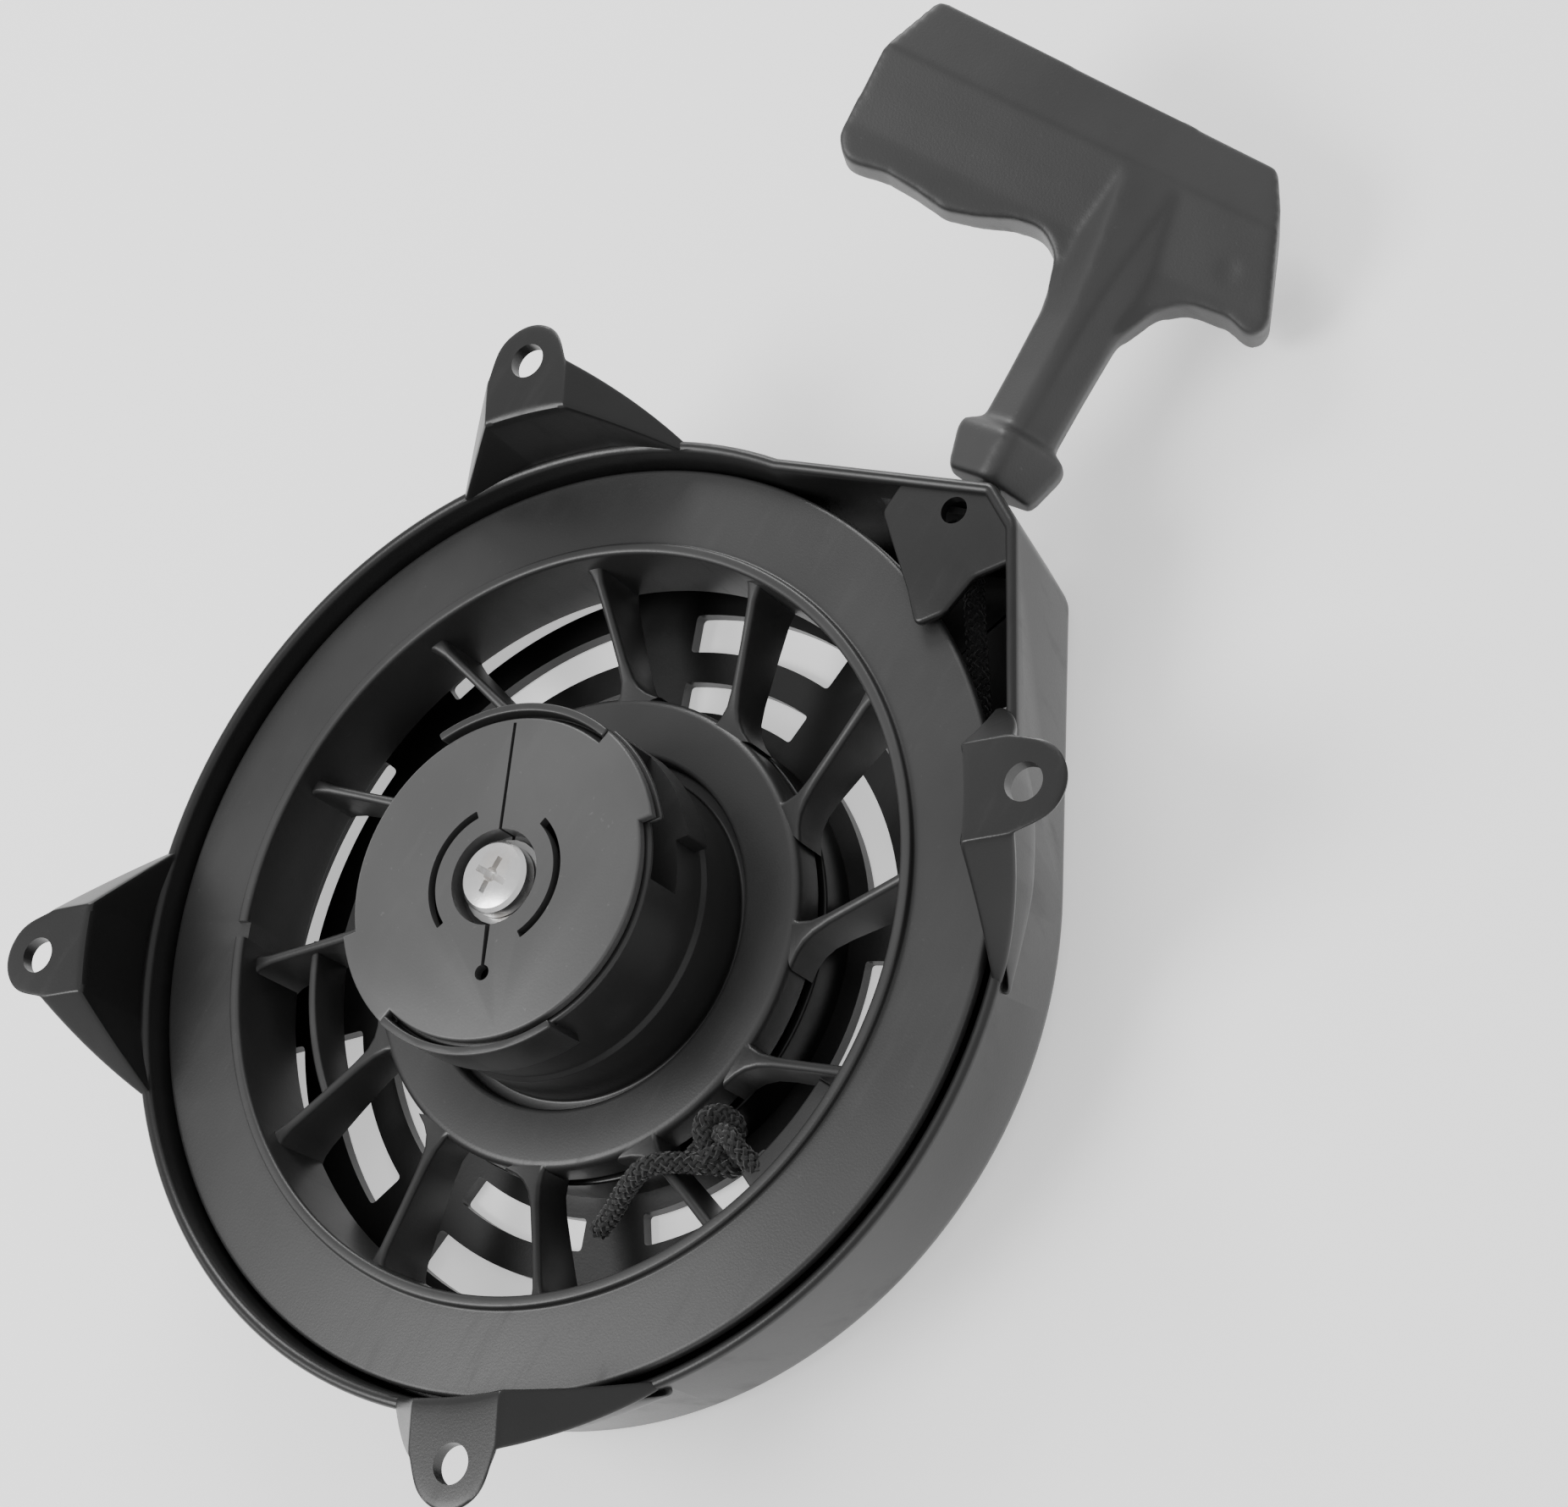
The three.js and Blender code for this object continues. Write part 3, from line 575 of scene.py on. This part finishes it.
# %% Everything on the housing
def housing():
    made = bowl()
    cup = turned("cup", fillet([(41, FLOOR - 1), (42.8, FLOOR - 1), (42.8, 11), (41, 11)], [0, 0, 0.5, 0.5]))
    cup = cut(cup, plain("slot", [(39, -1.2), (45, -1.2), (45, 1.2), (39, 1.2)], FLOOR, 13))
    made = join(made, cup, rod("post", POST_R, 0.5, POST_TOP, edge=0.4))
    high_end, low_end = RIM - WING_DROP, NEAR_RIM - WING_DROP
    wing_ends = [(high_end, high_end), (high_end, high_end), (high_end, low_end), (low_end, low_end)]
    for k, (right_end, left_end) in enumerate(wing_ends):
        angle = LUG_FIRST + 90 * k
        piece = spun(lug(right_end, left_end), angle)
        hole = rod("hole", LUG_HOLE, LUG_TOP - 9, LUG_TOP + 2, polar(LUG_R, angle))
        made = join(made, cut(piece, hole))
    guard = fillet(GUARD, GUARD_ROUNDS)
    made = join(made, slab("guard", guard[::-1], GUARD_LOW, GUARD_TOP, 0.7))
    turned_out = Matrix.Rotation(math.radians(BUSH_TURN), 4, "Z")
    leaning = turned_out @ Matrix.Rotation(math.radians(BUSH_LEAN), 4, "Y")
    bush_way = moved(rod("way", BUSH_HOLE_R, -8, 8), Matrix.Translation(BUSH * MM) @ leaning)
    window = plain("window", [(84, -23.2), (100, -23.2), (100, -15.5), (84, -15.5)], 8, 26)
    guard_hole = rod("notch", GUARD_HOLE_R, 28, 33, GUARD_HOLE)
    cutters = [bush_way, window, guard_hole, rod("screw", SCREW_HOLE_R, 8, 40)]
    for inner, outer in GRILLE_ROWS:
        ends = (GRILLE_AT - GRILLE_HALF, GRILLE_AT + GRILLE_HALF)
        slot = sector("grille", inner, outer, *ends, -2, FLOOR + 2, corner=1.6)
        cutters.append(repeated(slot, GRILLE_SLOTS))
    return cut(made, *cutters)


shell = housing()
finished(shell, "housing_shell", "housing", "housing_plastic", HOUSING, "starter_housing")

# %% [markdown]
# ## The pulley
# The pulley is a deep rope ring on twelve swept spokes round a hub. The ring and the hub are
# turned from rounded profiles, and one spoke, lofted with a flared root, is repeated by the
# copies tree. The hub carries raised walls and two lobes that guard the pawl windows.

# %% Pulley sizes
HUB_TOP, HUB_R, LOBE_R = 45.0, 28.9, 31.2
LOBE_ARC, CAP_ARC, PAWL_Z = (-47.0, -11.0), (-11.0, 57.0), (36.5, 44.2)
SPOKES, SPOKE_FIRST, SPOKE_SWEEP = 12, 20.6, 10
RIB_ARC, WEB_ARC, LIP_NOTCH_AT, PAWL_PIN = (116, 147.5), (-113, -93), 116, (18.5, -84)
ROPE_HOLE_R, ROPE_HOLE_AT, ROPE_HOLE_Z, ROPE_HOLE_TURN = 2.3, (57, -112.8), 16.2, -80.5


# %% Ring, hub and spoke
def rope_ring():
    lip = 1.3
    profile = [
        (65.8, 12), (79.5, 12), (79.5, 14.2), (67.7, 14.2), (67.7, 25.8), (RING_R, 25.8),
        (RING_R, 28), (67.9, 28), (67.9, 28 + lip), (65.8, 28 + lip)]
    return turned("ring", fillet(profile, [0.6, 0.6, 0.6, 1, 1, 0.6, 0.9, 0.5, 0.7, 0.9]), 240)


def hub():
    profile = [
        (8.05, 3.5), (11.5, 3.5), (11.5, 34), (25.4, 34), (25.4, 14), (34.3, 14), (34.3, 17.5),
        (40.3, 17.5), (40.3, 13), (42.5, 13), (42.5, 20), (31.9, 20), (31.9, 16.5), (29.6, 16.5),
        (29.6, 28), (HUB_R, 29), (HUB_R, HUB_TOP), (25.7, HUB_TOP), (25.7, 36.5), (8.05, 36.5)]
    radii = [0.3, 0.3, 0, 0.5, 0, 0, 0, 0, 0, 0.5, 1.6, 1.0, 0.6, 0.5, 0.5, 0.6, 0.7, 0.4, 0, 0]
    return turned("hub", fillet(profile, radii), 180)


def spoke(start, sweep):
    """A thin blade from the flange to the ring, flared at both ends, with a round top edge."""
    a, b = Vector(polar(40.5, start)), Vector(polar(66.9, start + sweep))
    along = (b - a).normalized()
    across = Vector((-along.y, along.x))
    rings = []
    stations = [(0, 11, 19.6), (0.06, 7, 19.8), (0.12, 4.4, 20), (0.2, 2.7, 20.3), (0.32, 2.0, 21),
                (0.6, 1.8, 22.6), (0.86, 1.9, 24.2), (0.94, 2.6, 24.7), (1, 4.2, 24.9)]
    for share, wide, top in stations:
        middle = a.lerp(b, share)
        half = wide / 2
        crown = min(half, 0.9)
        section = [(half, 12)]
        for k in range(5):
            turn = math.pi / 2 * k / 4
            section.append((half - crown * (1 - math.cos(turn)), top - crown * (1 - math.sin(turn))))
        ring = section + [(-x, z) for x, z in section[::-1]]
        rings.append([(*(middle + across * x), z) for x, z in ring])
    return loft("spoke", rings)


# %% Everything on the pulley
def pulley():
    made = join(rope_ring(), hub(), repeated(spoke(SPOKE_FIRST, SPOKE_SWEEP), SPOKES))
    rib = sector("rib", 55.2, 56.8, *RIB_ARC, 12, 21, edge=0.5)
    web = sector("web", 57.5, 67, *WEB_ARC, 18.2, 20, edge=0.4)
    made = join(made, rib, web)
    for half_turn in (0, 180):
        foot = sector("foot", 27, 30.7, *CAP_ARC, 38, 44, edge=0.5)
        wall = sector("wall", 29.2, 30.7, *CAP_ARC, 43, PLATE_TOP + 0.3, corner=0.6, edge=0.3)
        lobe_arc = (LOBE_ARC[0], LOBE_ARC[1] + 1.6)
        lobe = sector("lobe", 27, LOBE_R, *lobe_arc, 30, HUB_TOP - 0.2, corner=0.9, edge=0.3)
        window = sector("window", 24.5, 33, LOBE_ARC[0] - 19, LOBE_ARC[1] - 4, *PAWL_Z)
        pin = rod("pin", 2.4, 34.5, 44.4, polar(*PAWL_PIN))
        made = join(made, *[spun(piece, half_turn) for piece in (foot, wall, lobe)])
        made = join(cut(made, spun(window, half_turn)), spun(pin, half_turn))
    heading = Matrix.Rotation(math.radians(ROPE_HOLE_TURN), 4, "Z")
    level = heading @ Matrix.Rotation(math.radians(90), 4, "Y")
    hole_start = Matrix.Translation(Vector((*polar(*ROPE_HOLE_AT), ROPE_HOLE_Z)) * MM)
    rope_way = moved(rod("way", ROPE_HOLE_R, 0, 18), hole_start @ level)
    notch = spun(plain("notch", [(64, -1.5), (70, -1.5), (70, 1.5), (64, 1.5)], 28, 31), LIP_NOTCH_AT)
    return cut(made, rope_way, notch)


wheel = pulley()
finished(wheel, "rope_pulley", "pulley", "pulley_plastic", PULLEY, "pulley")

# %% [markdown]
# ## The friction plate and its screw
# The plate is flat, so a rounded slab is enough: two lobes, two curved slots that let its rim
# flex, a thin saw cut and a short one that ends in a keyhole. The screw's head is a shallow dome
# with a cross recess.


# %% Plate sizes
PLATE_R, PLATE_LOBE_R, PLATE_SLOTS = 28.1, 30.6, ((51, 157), (-121, -15))
SAW_AT, KEYHOLE_R, KEYHOLE_OUT, KEYHOLE_AT = 27, 1.35, 16.6, -152


# %% Plate and screw
def friction_plate():
    outline = arc(PLATE_LOBE_R, *LOBE_ARC) + arc(PLATE_R, LOBE_ARC[1], 180 + LOBE_ARC[0])
    outline += arc(PLATE_LOBE_R, 180 + LOBE_ARC[0], 180 + LOBE_ARC[1])
    outline += arc(PLATE_R, 180 + LOBE_ARC[1], 360 + LOBE_ARC[0])
    made = slab("plate", outline, PLATE_TOP - 1.9, PLATE_TOP, 0.45)
    made = join(made, rod("boss", 10.4, 41.5, PLATE_TOP - 1.4, edge=0.4))
    slots = [sector("slot", 11.6, 13, *ends, 40, 49, corner=0.65) for ends in PLATE_SLOTS]
    saw = spun(plain("saw", [(7, -0.3), (27.3, -0.3), (27.3, 0.3), (7, 0.3)], 42, 49), SAW_AT)
    short_cut = [(7, -0.5), (KEYHOLE_OUT, -0.3), (KEYHOLE_OUT, 0.3), (7, 0.5)]
    short = spun(plain("short", short_cut, 42, 49), KEYHOLE_AT)
    keyhole = rod("keyhole", KEYHOLE_R, 40, 49, polar(KEYHOLE_OUT, KEYHOLE_AT))
    recess = rod("recess", 8.4, 43, 49)
    return cut(made, recess, rod("bore", 3.5, 40, 49), *slots, saw, short, keyhole)


def cross_screw():
    head = [(0.3, 44.5), (6.3, 44.5), (6.3, 46.9), (5.7, 47.6), (4.2, 47.95), (2.2, 48.1), (0.3, 48.15)]
    circle = [polar(1, a) for a in range(0, 360, 5)]
    made = loft("head", [[(r * x, r * y, z) for x, y in circle] for r, z in head])
    recess = [plain("cross", [(-3.3, -0.55), (3.3, -0.55), (3.3, 0.55), (-3.3, 0.55)], 46, 50)]
    recess.append(twin(recess[0], 90))
    centre = rod("centre", 1.3, 45.6, 50)
    return cut(join(made, rod("shank", 2.95, 12, 45)), *recess, centre)


finished(friction_plate(), "pawl_plate", "plate", "plate_plastic", PLATE, "friction_plate")
finished(cross_screw(), "cross_screw", "housing", "zinc_steel", ZINC, "centre_screw")

# %% [markdown]
# ## The rope
# The rope is a tube of crossing strands. A Geometry Nodes tree copies its centre line once for
# each strand, winds the copies round it, and lifts them over and under each other where they
# cross. The wound turns inside the groove hardly show, so they stay a tube with a woven finish.

# %% Rope sizes and paths
ROPE_R, STRAND_R, STRANDS, PITCH = 1.7, 0.46, 6, 9.0
COIL = {"inner": 70.3, "outer": 73.8, "low": 16.2, "top": 23.8, "first": -104.4, "sweep": 1485}
GRIP_AT = Vector((97.3, -30.2, 20))


def smooth_path(points, step=0.8):
    """A centripetal curve through the points, as closely spaced points."""
    knots = [Vector(p) for p in points]
    knots = [knots[0] * 2 - knots[1], *knots, knots[-1] * 2 - knots[-2]]
    path = []
    for p0, p1, p2, p3 in zip(knots, knots[1:], knots[2:], knots[3:]):
        t1 = (p1 - p0).length ** 0.5
        t2 = t1 + (p2 - p1).length ** 0.5
        t3 = t2 + (p3 - p2).length ** 0.5
        count = max(2, round((p2 - p1).length / step))
        for k in range(count):
            t = t1 + (t2 - t1) * k / count
            a1, a2 = p0.lerp(p1, t / t1), p1.lerp(p2, (t - t1) / (t2 - t1))
            a3 = p2.lerp(p3, (t - t2) / (t3 - t2))
            b1, b2 = a1.lerp(a2, t / t2), a2.lerp(a3, (t - t1) / (t3 - t1))
            path.append(b1.lerp(b2, (t - t1) / (t2 - t1)))
    return [*path, knots[-2]]


def tube(name, path, r, sides=12):
    """A round tube along a path; with_uv gives it its UV map, metres along and turns around."""
    rings, normal = [], Vector((0, 0, 1))
    for i, point in enumerate(path):
        along = (path[min(i + 1, len(path) - 1)] - path[max(i - 1, 0)]).normalized()
        normal = (normal - along * normal.dot(along)).normalized()
        other = along.cross(normal)
        circle = arc(1, 0, 360 - 360 / sides, 360 / sides)
        rings.append([point + (normal * x + other * y) * r for x, y in circle])
    return loft(name, rings)


# %% The tree for braided rope
def strand_family(tree, line, entry, lean):
    """One set of strands that all wind the same way; lean is 1 or -1."""
    out = entry.outputs
    many = add(tree, "GeometryNodeDuplicateElements", {
        "Geometry": line, "Amount": out["Strands"]}, domain="SPLINE")
    length = add(tree, "GeometryNodeSplineParameter").outputs["Length"]

    def sum_of(operation, *values):
        return add(tree, "ShaderNodeMath", dict(enumerate(values)), operation=operation).outputs[0]

    rate = sum_of("DIVIDE", math.tau * lean, out["Pitch"])
    share = sum_of("DIVIDE", math.tau, out["Strands"])
    own = sum_of("MULTIPLY", many.outputs["Duplicate Index"], share)
    wind = sum_of("MULTIPLY", length, rate)
    angle = sum_of("ADD", wind, own)
    crossings = sum_of("MULTIPLY", wind, out["Strands"])
    lift = sum_of("COSINE", crossings)
    reach = sum_of("MULTIPLY_ADD", lift, 0.00022 * lean, out["Reach"])
    normal = add(tree, "GeometryNodeInputNormal").outputs["Normal"]
    tangent = add(tree, "GeometryNodeInputTangent").outputs[0]
    other = add(tree, "ShaderNodeVectorMath", {0: tangent, 1: normal}, operation="CROSS_PRODUCT").outputs[0]
    parts = []
    for direction, turn in ((normal, "COSINE"), (other, "SINE")):
        scaled = sum_of("MULTIPLY", sum_of(turn, angle), reach)
        part = add(tree, "ShaderNodeVectorMath", {0: direction, "Scale": scaled}, operation="SCALE")
        parts.append(part.outputs[0])
    offset = add(tree, "ShaderNodeVectorMath", {0: parts[0], 1: parts[1]}, operation="ADD").outputs[0]
    wound = add(tree, "GeometryNodeSetPosition", {"Geometry": many.outputs["Geometry"], "Offset": offset})
    circle = add(tree, "GeometryNodeCurvePrimitiveCircle", {"Resolution": 5, "Radius": out["Strand radius"]})
    strand = add(tree, "GeometryNodeCurveToMesh", {
        "Curve": wound.outputs[0], "Profile Curve": circle.outputs[0], "Fill Caps": True})
    return strand.outputs[0]


braid_tree, entry, leave = tree_with("braided rope", [
    ("Strands", "Int"), ("Pitch", "Float"), ("Reach", "Float"), ("Strand radius", "Float"),
    ("Material", "Material")])
line = add(braid_tree, "GeometryNodeMeshToCurve", {"Mesh": entry.outputs["Geometry"]}).outputs[0]
even = add(braid_tree, "GeometryNodeResampleCurve", {"Curve": line, "Length": 0.00025}, mode="LENGTH")
core_circle = add(braid_tree, "GeometryNodeCurvePrimitiveCircle", {
    "Resolution": 10, "Radius": (ROPE_R - 0.5) * MM})
core = add(braid_tree, "GeometryNodeCurveToMesh", {
    "Curve": even.outputs[0], "Profile Curve": core_circle.outputs[0], "Fill Caps": True})
bundle = add(braid_tree, "GeometryNodeJoinGeometry")
families = [strand_family(braid_tree, even.outputs[0], entry, lean) for lean in (1, -1)]
for source in (core.outputs[0], *families):
    braid_tree.links.new(source, bundle.inputs[0])
real = add(braid_tree, "GeometryNodeRealizeInstances", {0: bundle.outputs[0]})
coated = add(braid_tree, "GeometryNodeSetMaterial", {
    0: real.outputs[0], "Material": entry.outputs["Material"]})
braid_tree.links.new(coated.outputs[0], leave.inputs[0])


def braided(name, path):
    edges = [(i, i + 1) for i in range(len(path) - 1)]
    mesh = bpy.data.meshes.new(name)
    mesh.from_pydata([p * MM for p in path], edges, [])
    piece = bpy.data.objects.new(name, mesh)
    bpy.context.scene.collection.objects.link(piece)
    return run(piece, braid_tree, ROPE, **{
        "Strands": STRANDS, "Pitch": PITCH * MM, "Reach": (ROPE_R - STRAND_R) * MM,
        "Strand radius": STRAND_R * MM})


# %% The wound turns
def coil_path():
    path, step, half = [], 5, COIL["sweep"] / 2
    for angle in range(0, COIL["sweep"] + 1, step):
        rise = smooth_step(angle, half, half + 30)
        r = COIL["inner"] + (COIL["outer"] - COIL["inner"]) * rise
        across = 1 - abs(angle - half) / half
        height = COIL["low"] + (COIL["top"] - COIL["low"]) * across
        path.append(Vector((*polar(r, COIL["first"] + angle), height)))
    return path


def with_uv(piece, path, sides=12):
    """Gives a lofted tube its UV map from the order of its points."""
    travelled = [0.0]
    for a, b in zip(path, path[1:]):
        travelled.append(travelled[-1] + (b - a).length * MM)
    layer = piece.data.uv_layers.new(name="UVMap")
    for loop in piece.data.loops:
        ring, side = divmod(loop.vertex_index, sides)
        layer.data[loop.index].uv = (travelled[min(ring, len(path) - 1)], side / sides)
    return piece


turns = coil_path()
length = sum((b - a).length for a, b in zip(turns, turns[1:]))
print("wound rope:", round(length), "mm")
wound = with_uv(tube("turns", turns, ROPE_R), turns)
finished(wound, "wound_rope", "pulley", "rope", ROPE_WOUND, "rope_wound", angle=60)

# %% [markdown]
# ## Where the rope shows
# The rope comes through a hole in the ring into a cell between two spokes, is tied in an overhand
# knot there, and its tail lies over a spoke. At the spout it runs from the groove to the bush.
# The knot is a trefoil curve, opened where the rope enters and leaves it. From the bush to the
# grip the rope is one piece.


# %% Knot, run and lead
def knot_path(centre, size, height, opening):
    """An overhand knot: a trefoil opened at one of its three lobes."""
    path = []
    count = 26
    for k in range(count + 1):
        t = math.pi / 3 + 0.32 + (math.tau - 0.64) * k / count
        x, y = math.sin(t) + 2 * math.sin(2 * t), math.cos(t) - 2 * math.cos(2 * t)
        c, s = polar(1, opening - 30)
        path.append((centre[0] + size * (x * c - y * s), centre[1] + size * (x * s + y * c),
                     centre[2] - height * math.sin(3 * t)))
    return path


KNOT = (-20.3, -46.0, 19.4)
knot = knot_path(KNOT, 1.66, 1.8, -95)
into = [(*polar(68.6, -107.0), 16.2), (*polar(63.5, -109.6), 16.4)]
tail = [(-28.4, -39.4, 23.6), (-33.6, -36.0, 21.6), (-38.2, -33.6, 18.4), (-42.6, -31.0, 15.6)]
knotted = braided("pulley_knot", smooth_path(into + knot + tail))
finished(knotted, "rope_knot_and_tail", "pulley", "rope", ROPE, "rope_knot_pulley", angle=60)

RUN_START = Vector((*polar(COIL["outer"], -59.4), COIL["low"]))


def along_run(share, z):
    flat = RUN_START.lerp(BUSH, share)
    return (flat.x, flat.y, z)


run_points = [along_run(0.006, 16.2), along_run(0.2, 16.2), along_run(0.42, 16.2), along_run(0.75, 19.2),
              along_run(0.93, 20), along_run(0.98, 20)]
run_of_rope = braided("run", smooth_path(run_points))
finished(run_of_rope, "rope_run_to_bush", "housing", "rope", ROPE, "rope_run", angle=60)

lead_points = [(BUSH.x - 0.3, BUSH.y - 0.4, 20), (BUSH.x + 1.5, BUSH.y, 20), (BUSH.x + 7, BUSH.y, 20),
               (BUSH.x + 32, BUSH.y, 20), (GRIP_AT.x + 61.9, GRIP_AT.y, 20)]
lead = braided("lead", smooth_path(lead_points))
finished(lead, "rope_lead_to_grip", None, "rope", ROPE, "rope_lead", angle=60)
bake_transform(lead)

# %% [markdown]
# ## The grip
# The grip is a soft moulding with no straight edges, so it is roughed out by crossing two flat
# outlines, hollowed with finger scoops, then rebuilt as an even skin and smoothed. Its own axes
# are thickness, length of the bar, and the way it is pulled.

# %% Grip sizes
TWIST, GRIP_HEIGHT, CREASE, GRIP_HALF, POCKET_R = 25, 71.0, 59.0, 9.5, 4.7
twist_s, twist_c = math.sin(math.radians(TWIST)), math.cos(math.radians(TWIST))
GRIP_FRAME = Matrix(((0, 0, 1, GRIP_AT.x * MM), (-twist_s, -twist_c, 0, GRIP_AT.y * MM),
                     (twist_c, -twist_s, 0, GRIP_AT.z * MM), (0, 0, 0, 1)))


def diamond(wide, deep, z, ridge=1.2):
    """A section with a flat-topped ridge on its broad faces, softly rounded."""
    corners = [(deep, ridge), (2.6, wide), (-2.6, wide), (-deep, ridge), (-deep, -ridge), (-2.6, -wide),
               (2.6, -wide), (deep, -ridge)]
    return [(x, y, z) for x, y in fillet(corners, 1.2, 3)]


def scoop(at, radii):
    """A ball stretched to its three radii, to press a hollow with."""
    rings = []
    for k in range(1, 24):
        z, r = -math.cos(math.pi * k / 24), math.sin(math.pi * k / 24)
        rings.append([(at[0] + radii[0] * r * x, at[1] + radii[1] * r * y, at[2] + radii[2] * z)
                      for x, y in arc(1, 0, 352, 8)])
    return loft("scoop", rings)


# %% The grip
def grip():
    side = [
        (-52.6, 42.5), (-51.8, 58), (-48, GRIP_HEIGHT), (17.6, GRIP_HEIGHT - 1.5), (21.5, 63),
        (28.8, 45.2), (26.8, 42.0), (22, 43.6), (15, 42.8), (10.6, 39.5), (7.6, 33), (-7.4, 34),
        (-9.4, 40.6), (-13.5, 43.4), (-18.5, 42.6), (-24.6, 40.2), (-30, 38.8), (-36, 39.7),
        (-42, 40.2), (-49.6, 38.8)]
    side = fillet(side, [3.5, 4, 2, 2, 6, 2.5, 2, 5, 5, 5, 1, 1, 5, 5, 5, 6, 4, 6, 5, 3.5])
    half = GRIP_HALF
    flank = [(3.4, 30), (3.6, 39), (4.8, 45), (6.9, 51), (half, CREASE), (6.2, GRIP_HEIGHT + 0.5)]
    radii = [0, 3, 6, 8, 1.2, 2.5]
    mirrored = [(-x, z) for x, z in flank[::-1]]
    section = fillet(flank + mirrored, radii + radii[::-1])
    bar = loft("bar", [[(x, y, z) for y, z in side] for x in (-15, 15)])
    along = loft("section", [[(x, y, z) for x, z in section] for y in (-60, 35)])
    bar = combine(bar, [along], "INTERSECT")
    collar = loft("collar", [diamond(7.6, 6.8, 0), diamond(8.2, 7.4, 1.2), diamond(9.9, 8.9, 7.4),
                             diamond(9.6, 8.6, 8.8), diamond(7.2, 6.6, 10.2)])
    stem = loft("stem", [diamond(6.6, 6.1, 8), diamond(6.7, 6.4, 20), diamond(7.0, 6.9, 31, 1.4),
                         diamond(8.2, 7.5, 38, 2.0), diamond(10.4, 8.3, 46, 3.0), diamond(13, 9.3, 57, 4.6)])
    hollows = [scoop((x, y, z), (12, wide, 14)) for x in (-17.5, 17.5) for y, z, wide in
               ((-24, 43, 20), (18.5, 45, 12))]
    made = join(cut(bar, *hollows), collar, stem)
    skin = made.modifiers.new("skin", "REMESH")
    skin.mode, skin.voxel_size = "VOXEL", 0.55 * MM
    soft = made.modifiers.new("soft", "SMOOTH")
    soft.factor, soft.iterations = 0.5, 14
    settle(made)
    made = cut(made, rod("bore", 2.2, -2, 70), rod("pocket", POCKET_R, 60.6, 80))
    return moved(made, GRIP_FRAME)


def grip_cap():
    r = POCKET_R - 0.3
    made = rod("cap", r, 68.6, 70.6, edge=0.5)
    return moved(made, GRIP_FRAME)


finished(grip(), "t_grip", "handle", "grip_plastic", GRIP, "pull_grip", angle=60)
finished(grip_cap(), "grip_cap", "handle", "grip_plastic", GRIP, "grip_insert")

# %% [markdown]
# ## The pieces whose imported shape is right
# Springs, pawls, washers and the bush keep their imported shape. They only need a finish.

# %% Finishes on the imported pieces
KEPT = {
    "rope_bush": PLATE, "rewind_spring": SPRING_STEEL, "pawl_a": PLATE, "pawl_b": PLATE,
    "pawl_spring_a": SPRING_STEEL, "pawl_spring_b": SPRING_STEEL, "friction_spring": SPRING_STEEL,
    "friction_washer": SPRING_STEEL, "rope_knot_handle": ROPE, "grip_washer": ZINC,
}
for name, material in KEPT.items():
    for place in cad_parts[name].material_slots:
        place.material = material
print("kept pieces:", len(KEPT))

# %% [markdown]
# ## Floor, light and camera
# A pale floor that glows a little keeps the grille's openings light, as on a light table. The
# sky is a plain soft white, one large lamp gives the broad sheen on the flat ring, and a second
# draws the rounded edges.


# %% Floor and light sizes, in metres
FLOOR_HALF, FLOOR_Z, FLOOR_GLOW, SKY_STRENGTH = 6.0, -0.0005, 0.6, 0.75
LAMP_TARGET = (0, 0, 0.03)


# %% Floor
def stage():
    mesh = bpy.data.meshes.new("floor")
    corners = [(-1, -1), (1, -1), (1, 1), (-1, 1)]
    mesh.from_pydata([(x * FLOOR_HALF, y * FLOOR_HALF, FLOOR_Z) for x, y in corners], [], [(0, 1, 2, 3)])
    floor = bpy.data.objects.new("floor", mesh)
    bpy.context.scene.collection.objects.link(floor)
    pale = Shade("pale floor", Base_Color=(0.9, 0.9, 0.9, 1), Roughness=0.9)
    pale.shader.inputs["Emission Color"].default_value = (1, 1, 1, 1)
    pale.shader.inputs["Emission Strength"].default_value = FLOOR_GLOW
    mesh.materials.append(pale.material)


def lamp(name, at, towards, size, power):
    light = bpy.data.lights.new(name, "AREA")
    light.shape, light.size, light.energy = "DISK", size, power
    holder = bpy.data.objects.new(name, light)
    bpy.context.scene.collection.objects.link(holder)
    holder.location = at
    holder.rotation_euler = (Vector(towards) - Vector(at)).to_track_quat("-Z", "Y").to_euler()


stage()
world = bpy.data.worlds.new("soft sky")
bpy.context.scene.world = world
world.use_nodes = True
world.node_tree.nodes["Background"].inputs["Color"].default_value = (1, 1, 1, 1)
world.node_tree.nodes["Background"].inputs["Strength"].default_value = SKY_STRENGTH
lamp("broad lamp", (-0.5, 0.35, 0.9), LAMP_TARGET, 0.6, 9)
lamp("edge lamp", (0.7, 0.5, 0.5), LAMP_TARGET, 0.4, 5)

# %% Camera
AZIMUTH, ELEVATION, ROLL, LENS = -8.6, 53.1, -53.9, 77.84
CAMERA_AT = Vector((-0.0093, -0.3592, 0.4775))


def camera():
    a, e, r = (math.radians(value) for value in (AZIMUTH, ELEVATION, ROLL))
    back = Vector((math.sin(a) * math.cos(e), -math.cos(a) * math.cos(e), math.sin(e)))
    level = Vector((math.cos(a), math.sin(a), 0))
    upright = back.cross(level)
    right = level * math.cos(r) + upright * math.sin(r)
    up = back.cross(right)
    data = bpy.data.cameras.new("camera")
    data.lens, data.sensor_width, data.clip_start = LENS, 36, 0.01
    holder = bpy.data.objects.new("camera", data)
    bpy.context.scene.collection.objects.link(holder)
    turn = Matrix((right, up, back)).transposed().to_4x4()
    holder.matrix_world = Matrix.Translation(CAMERA_AT) @ turn
    bpy.context.scene.camera = holder


camera()
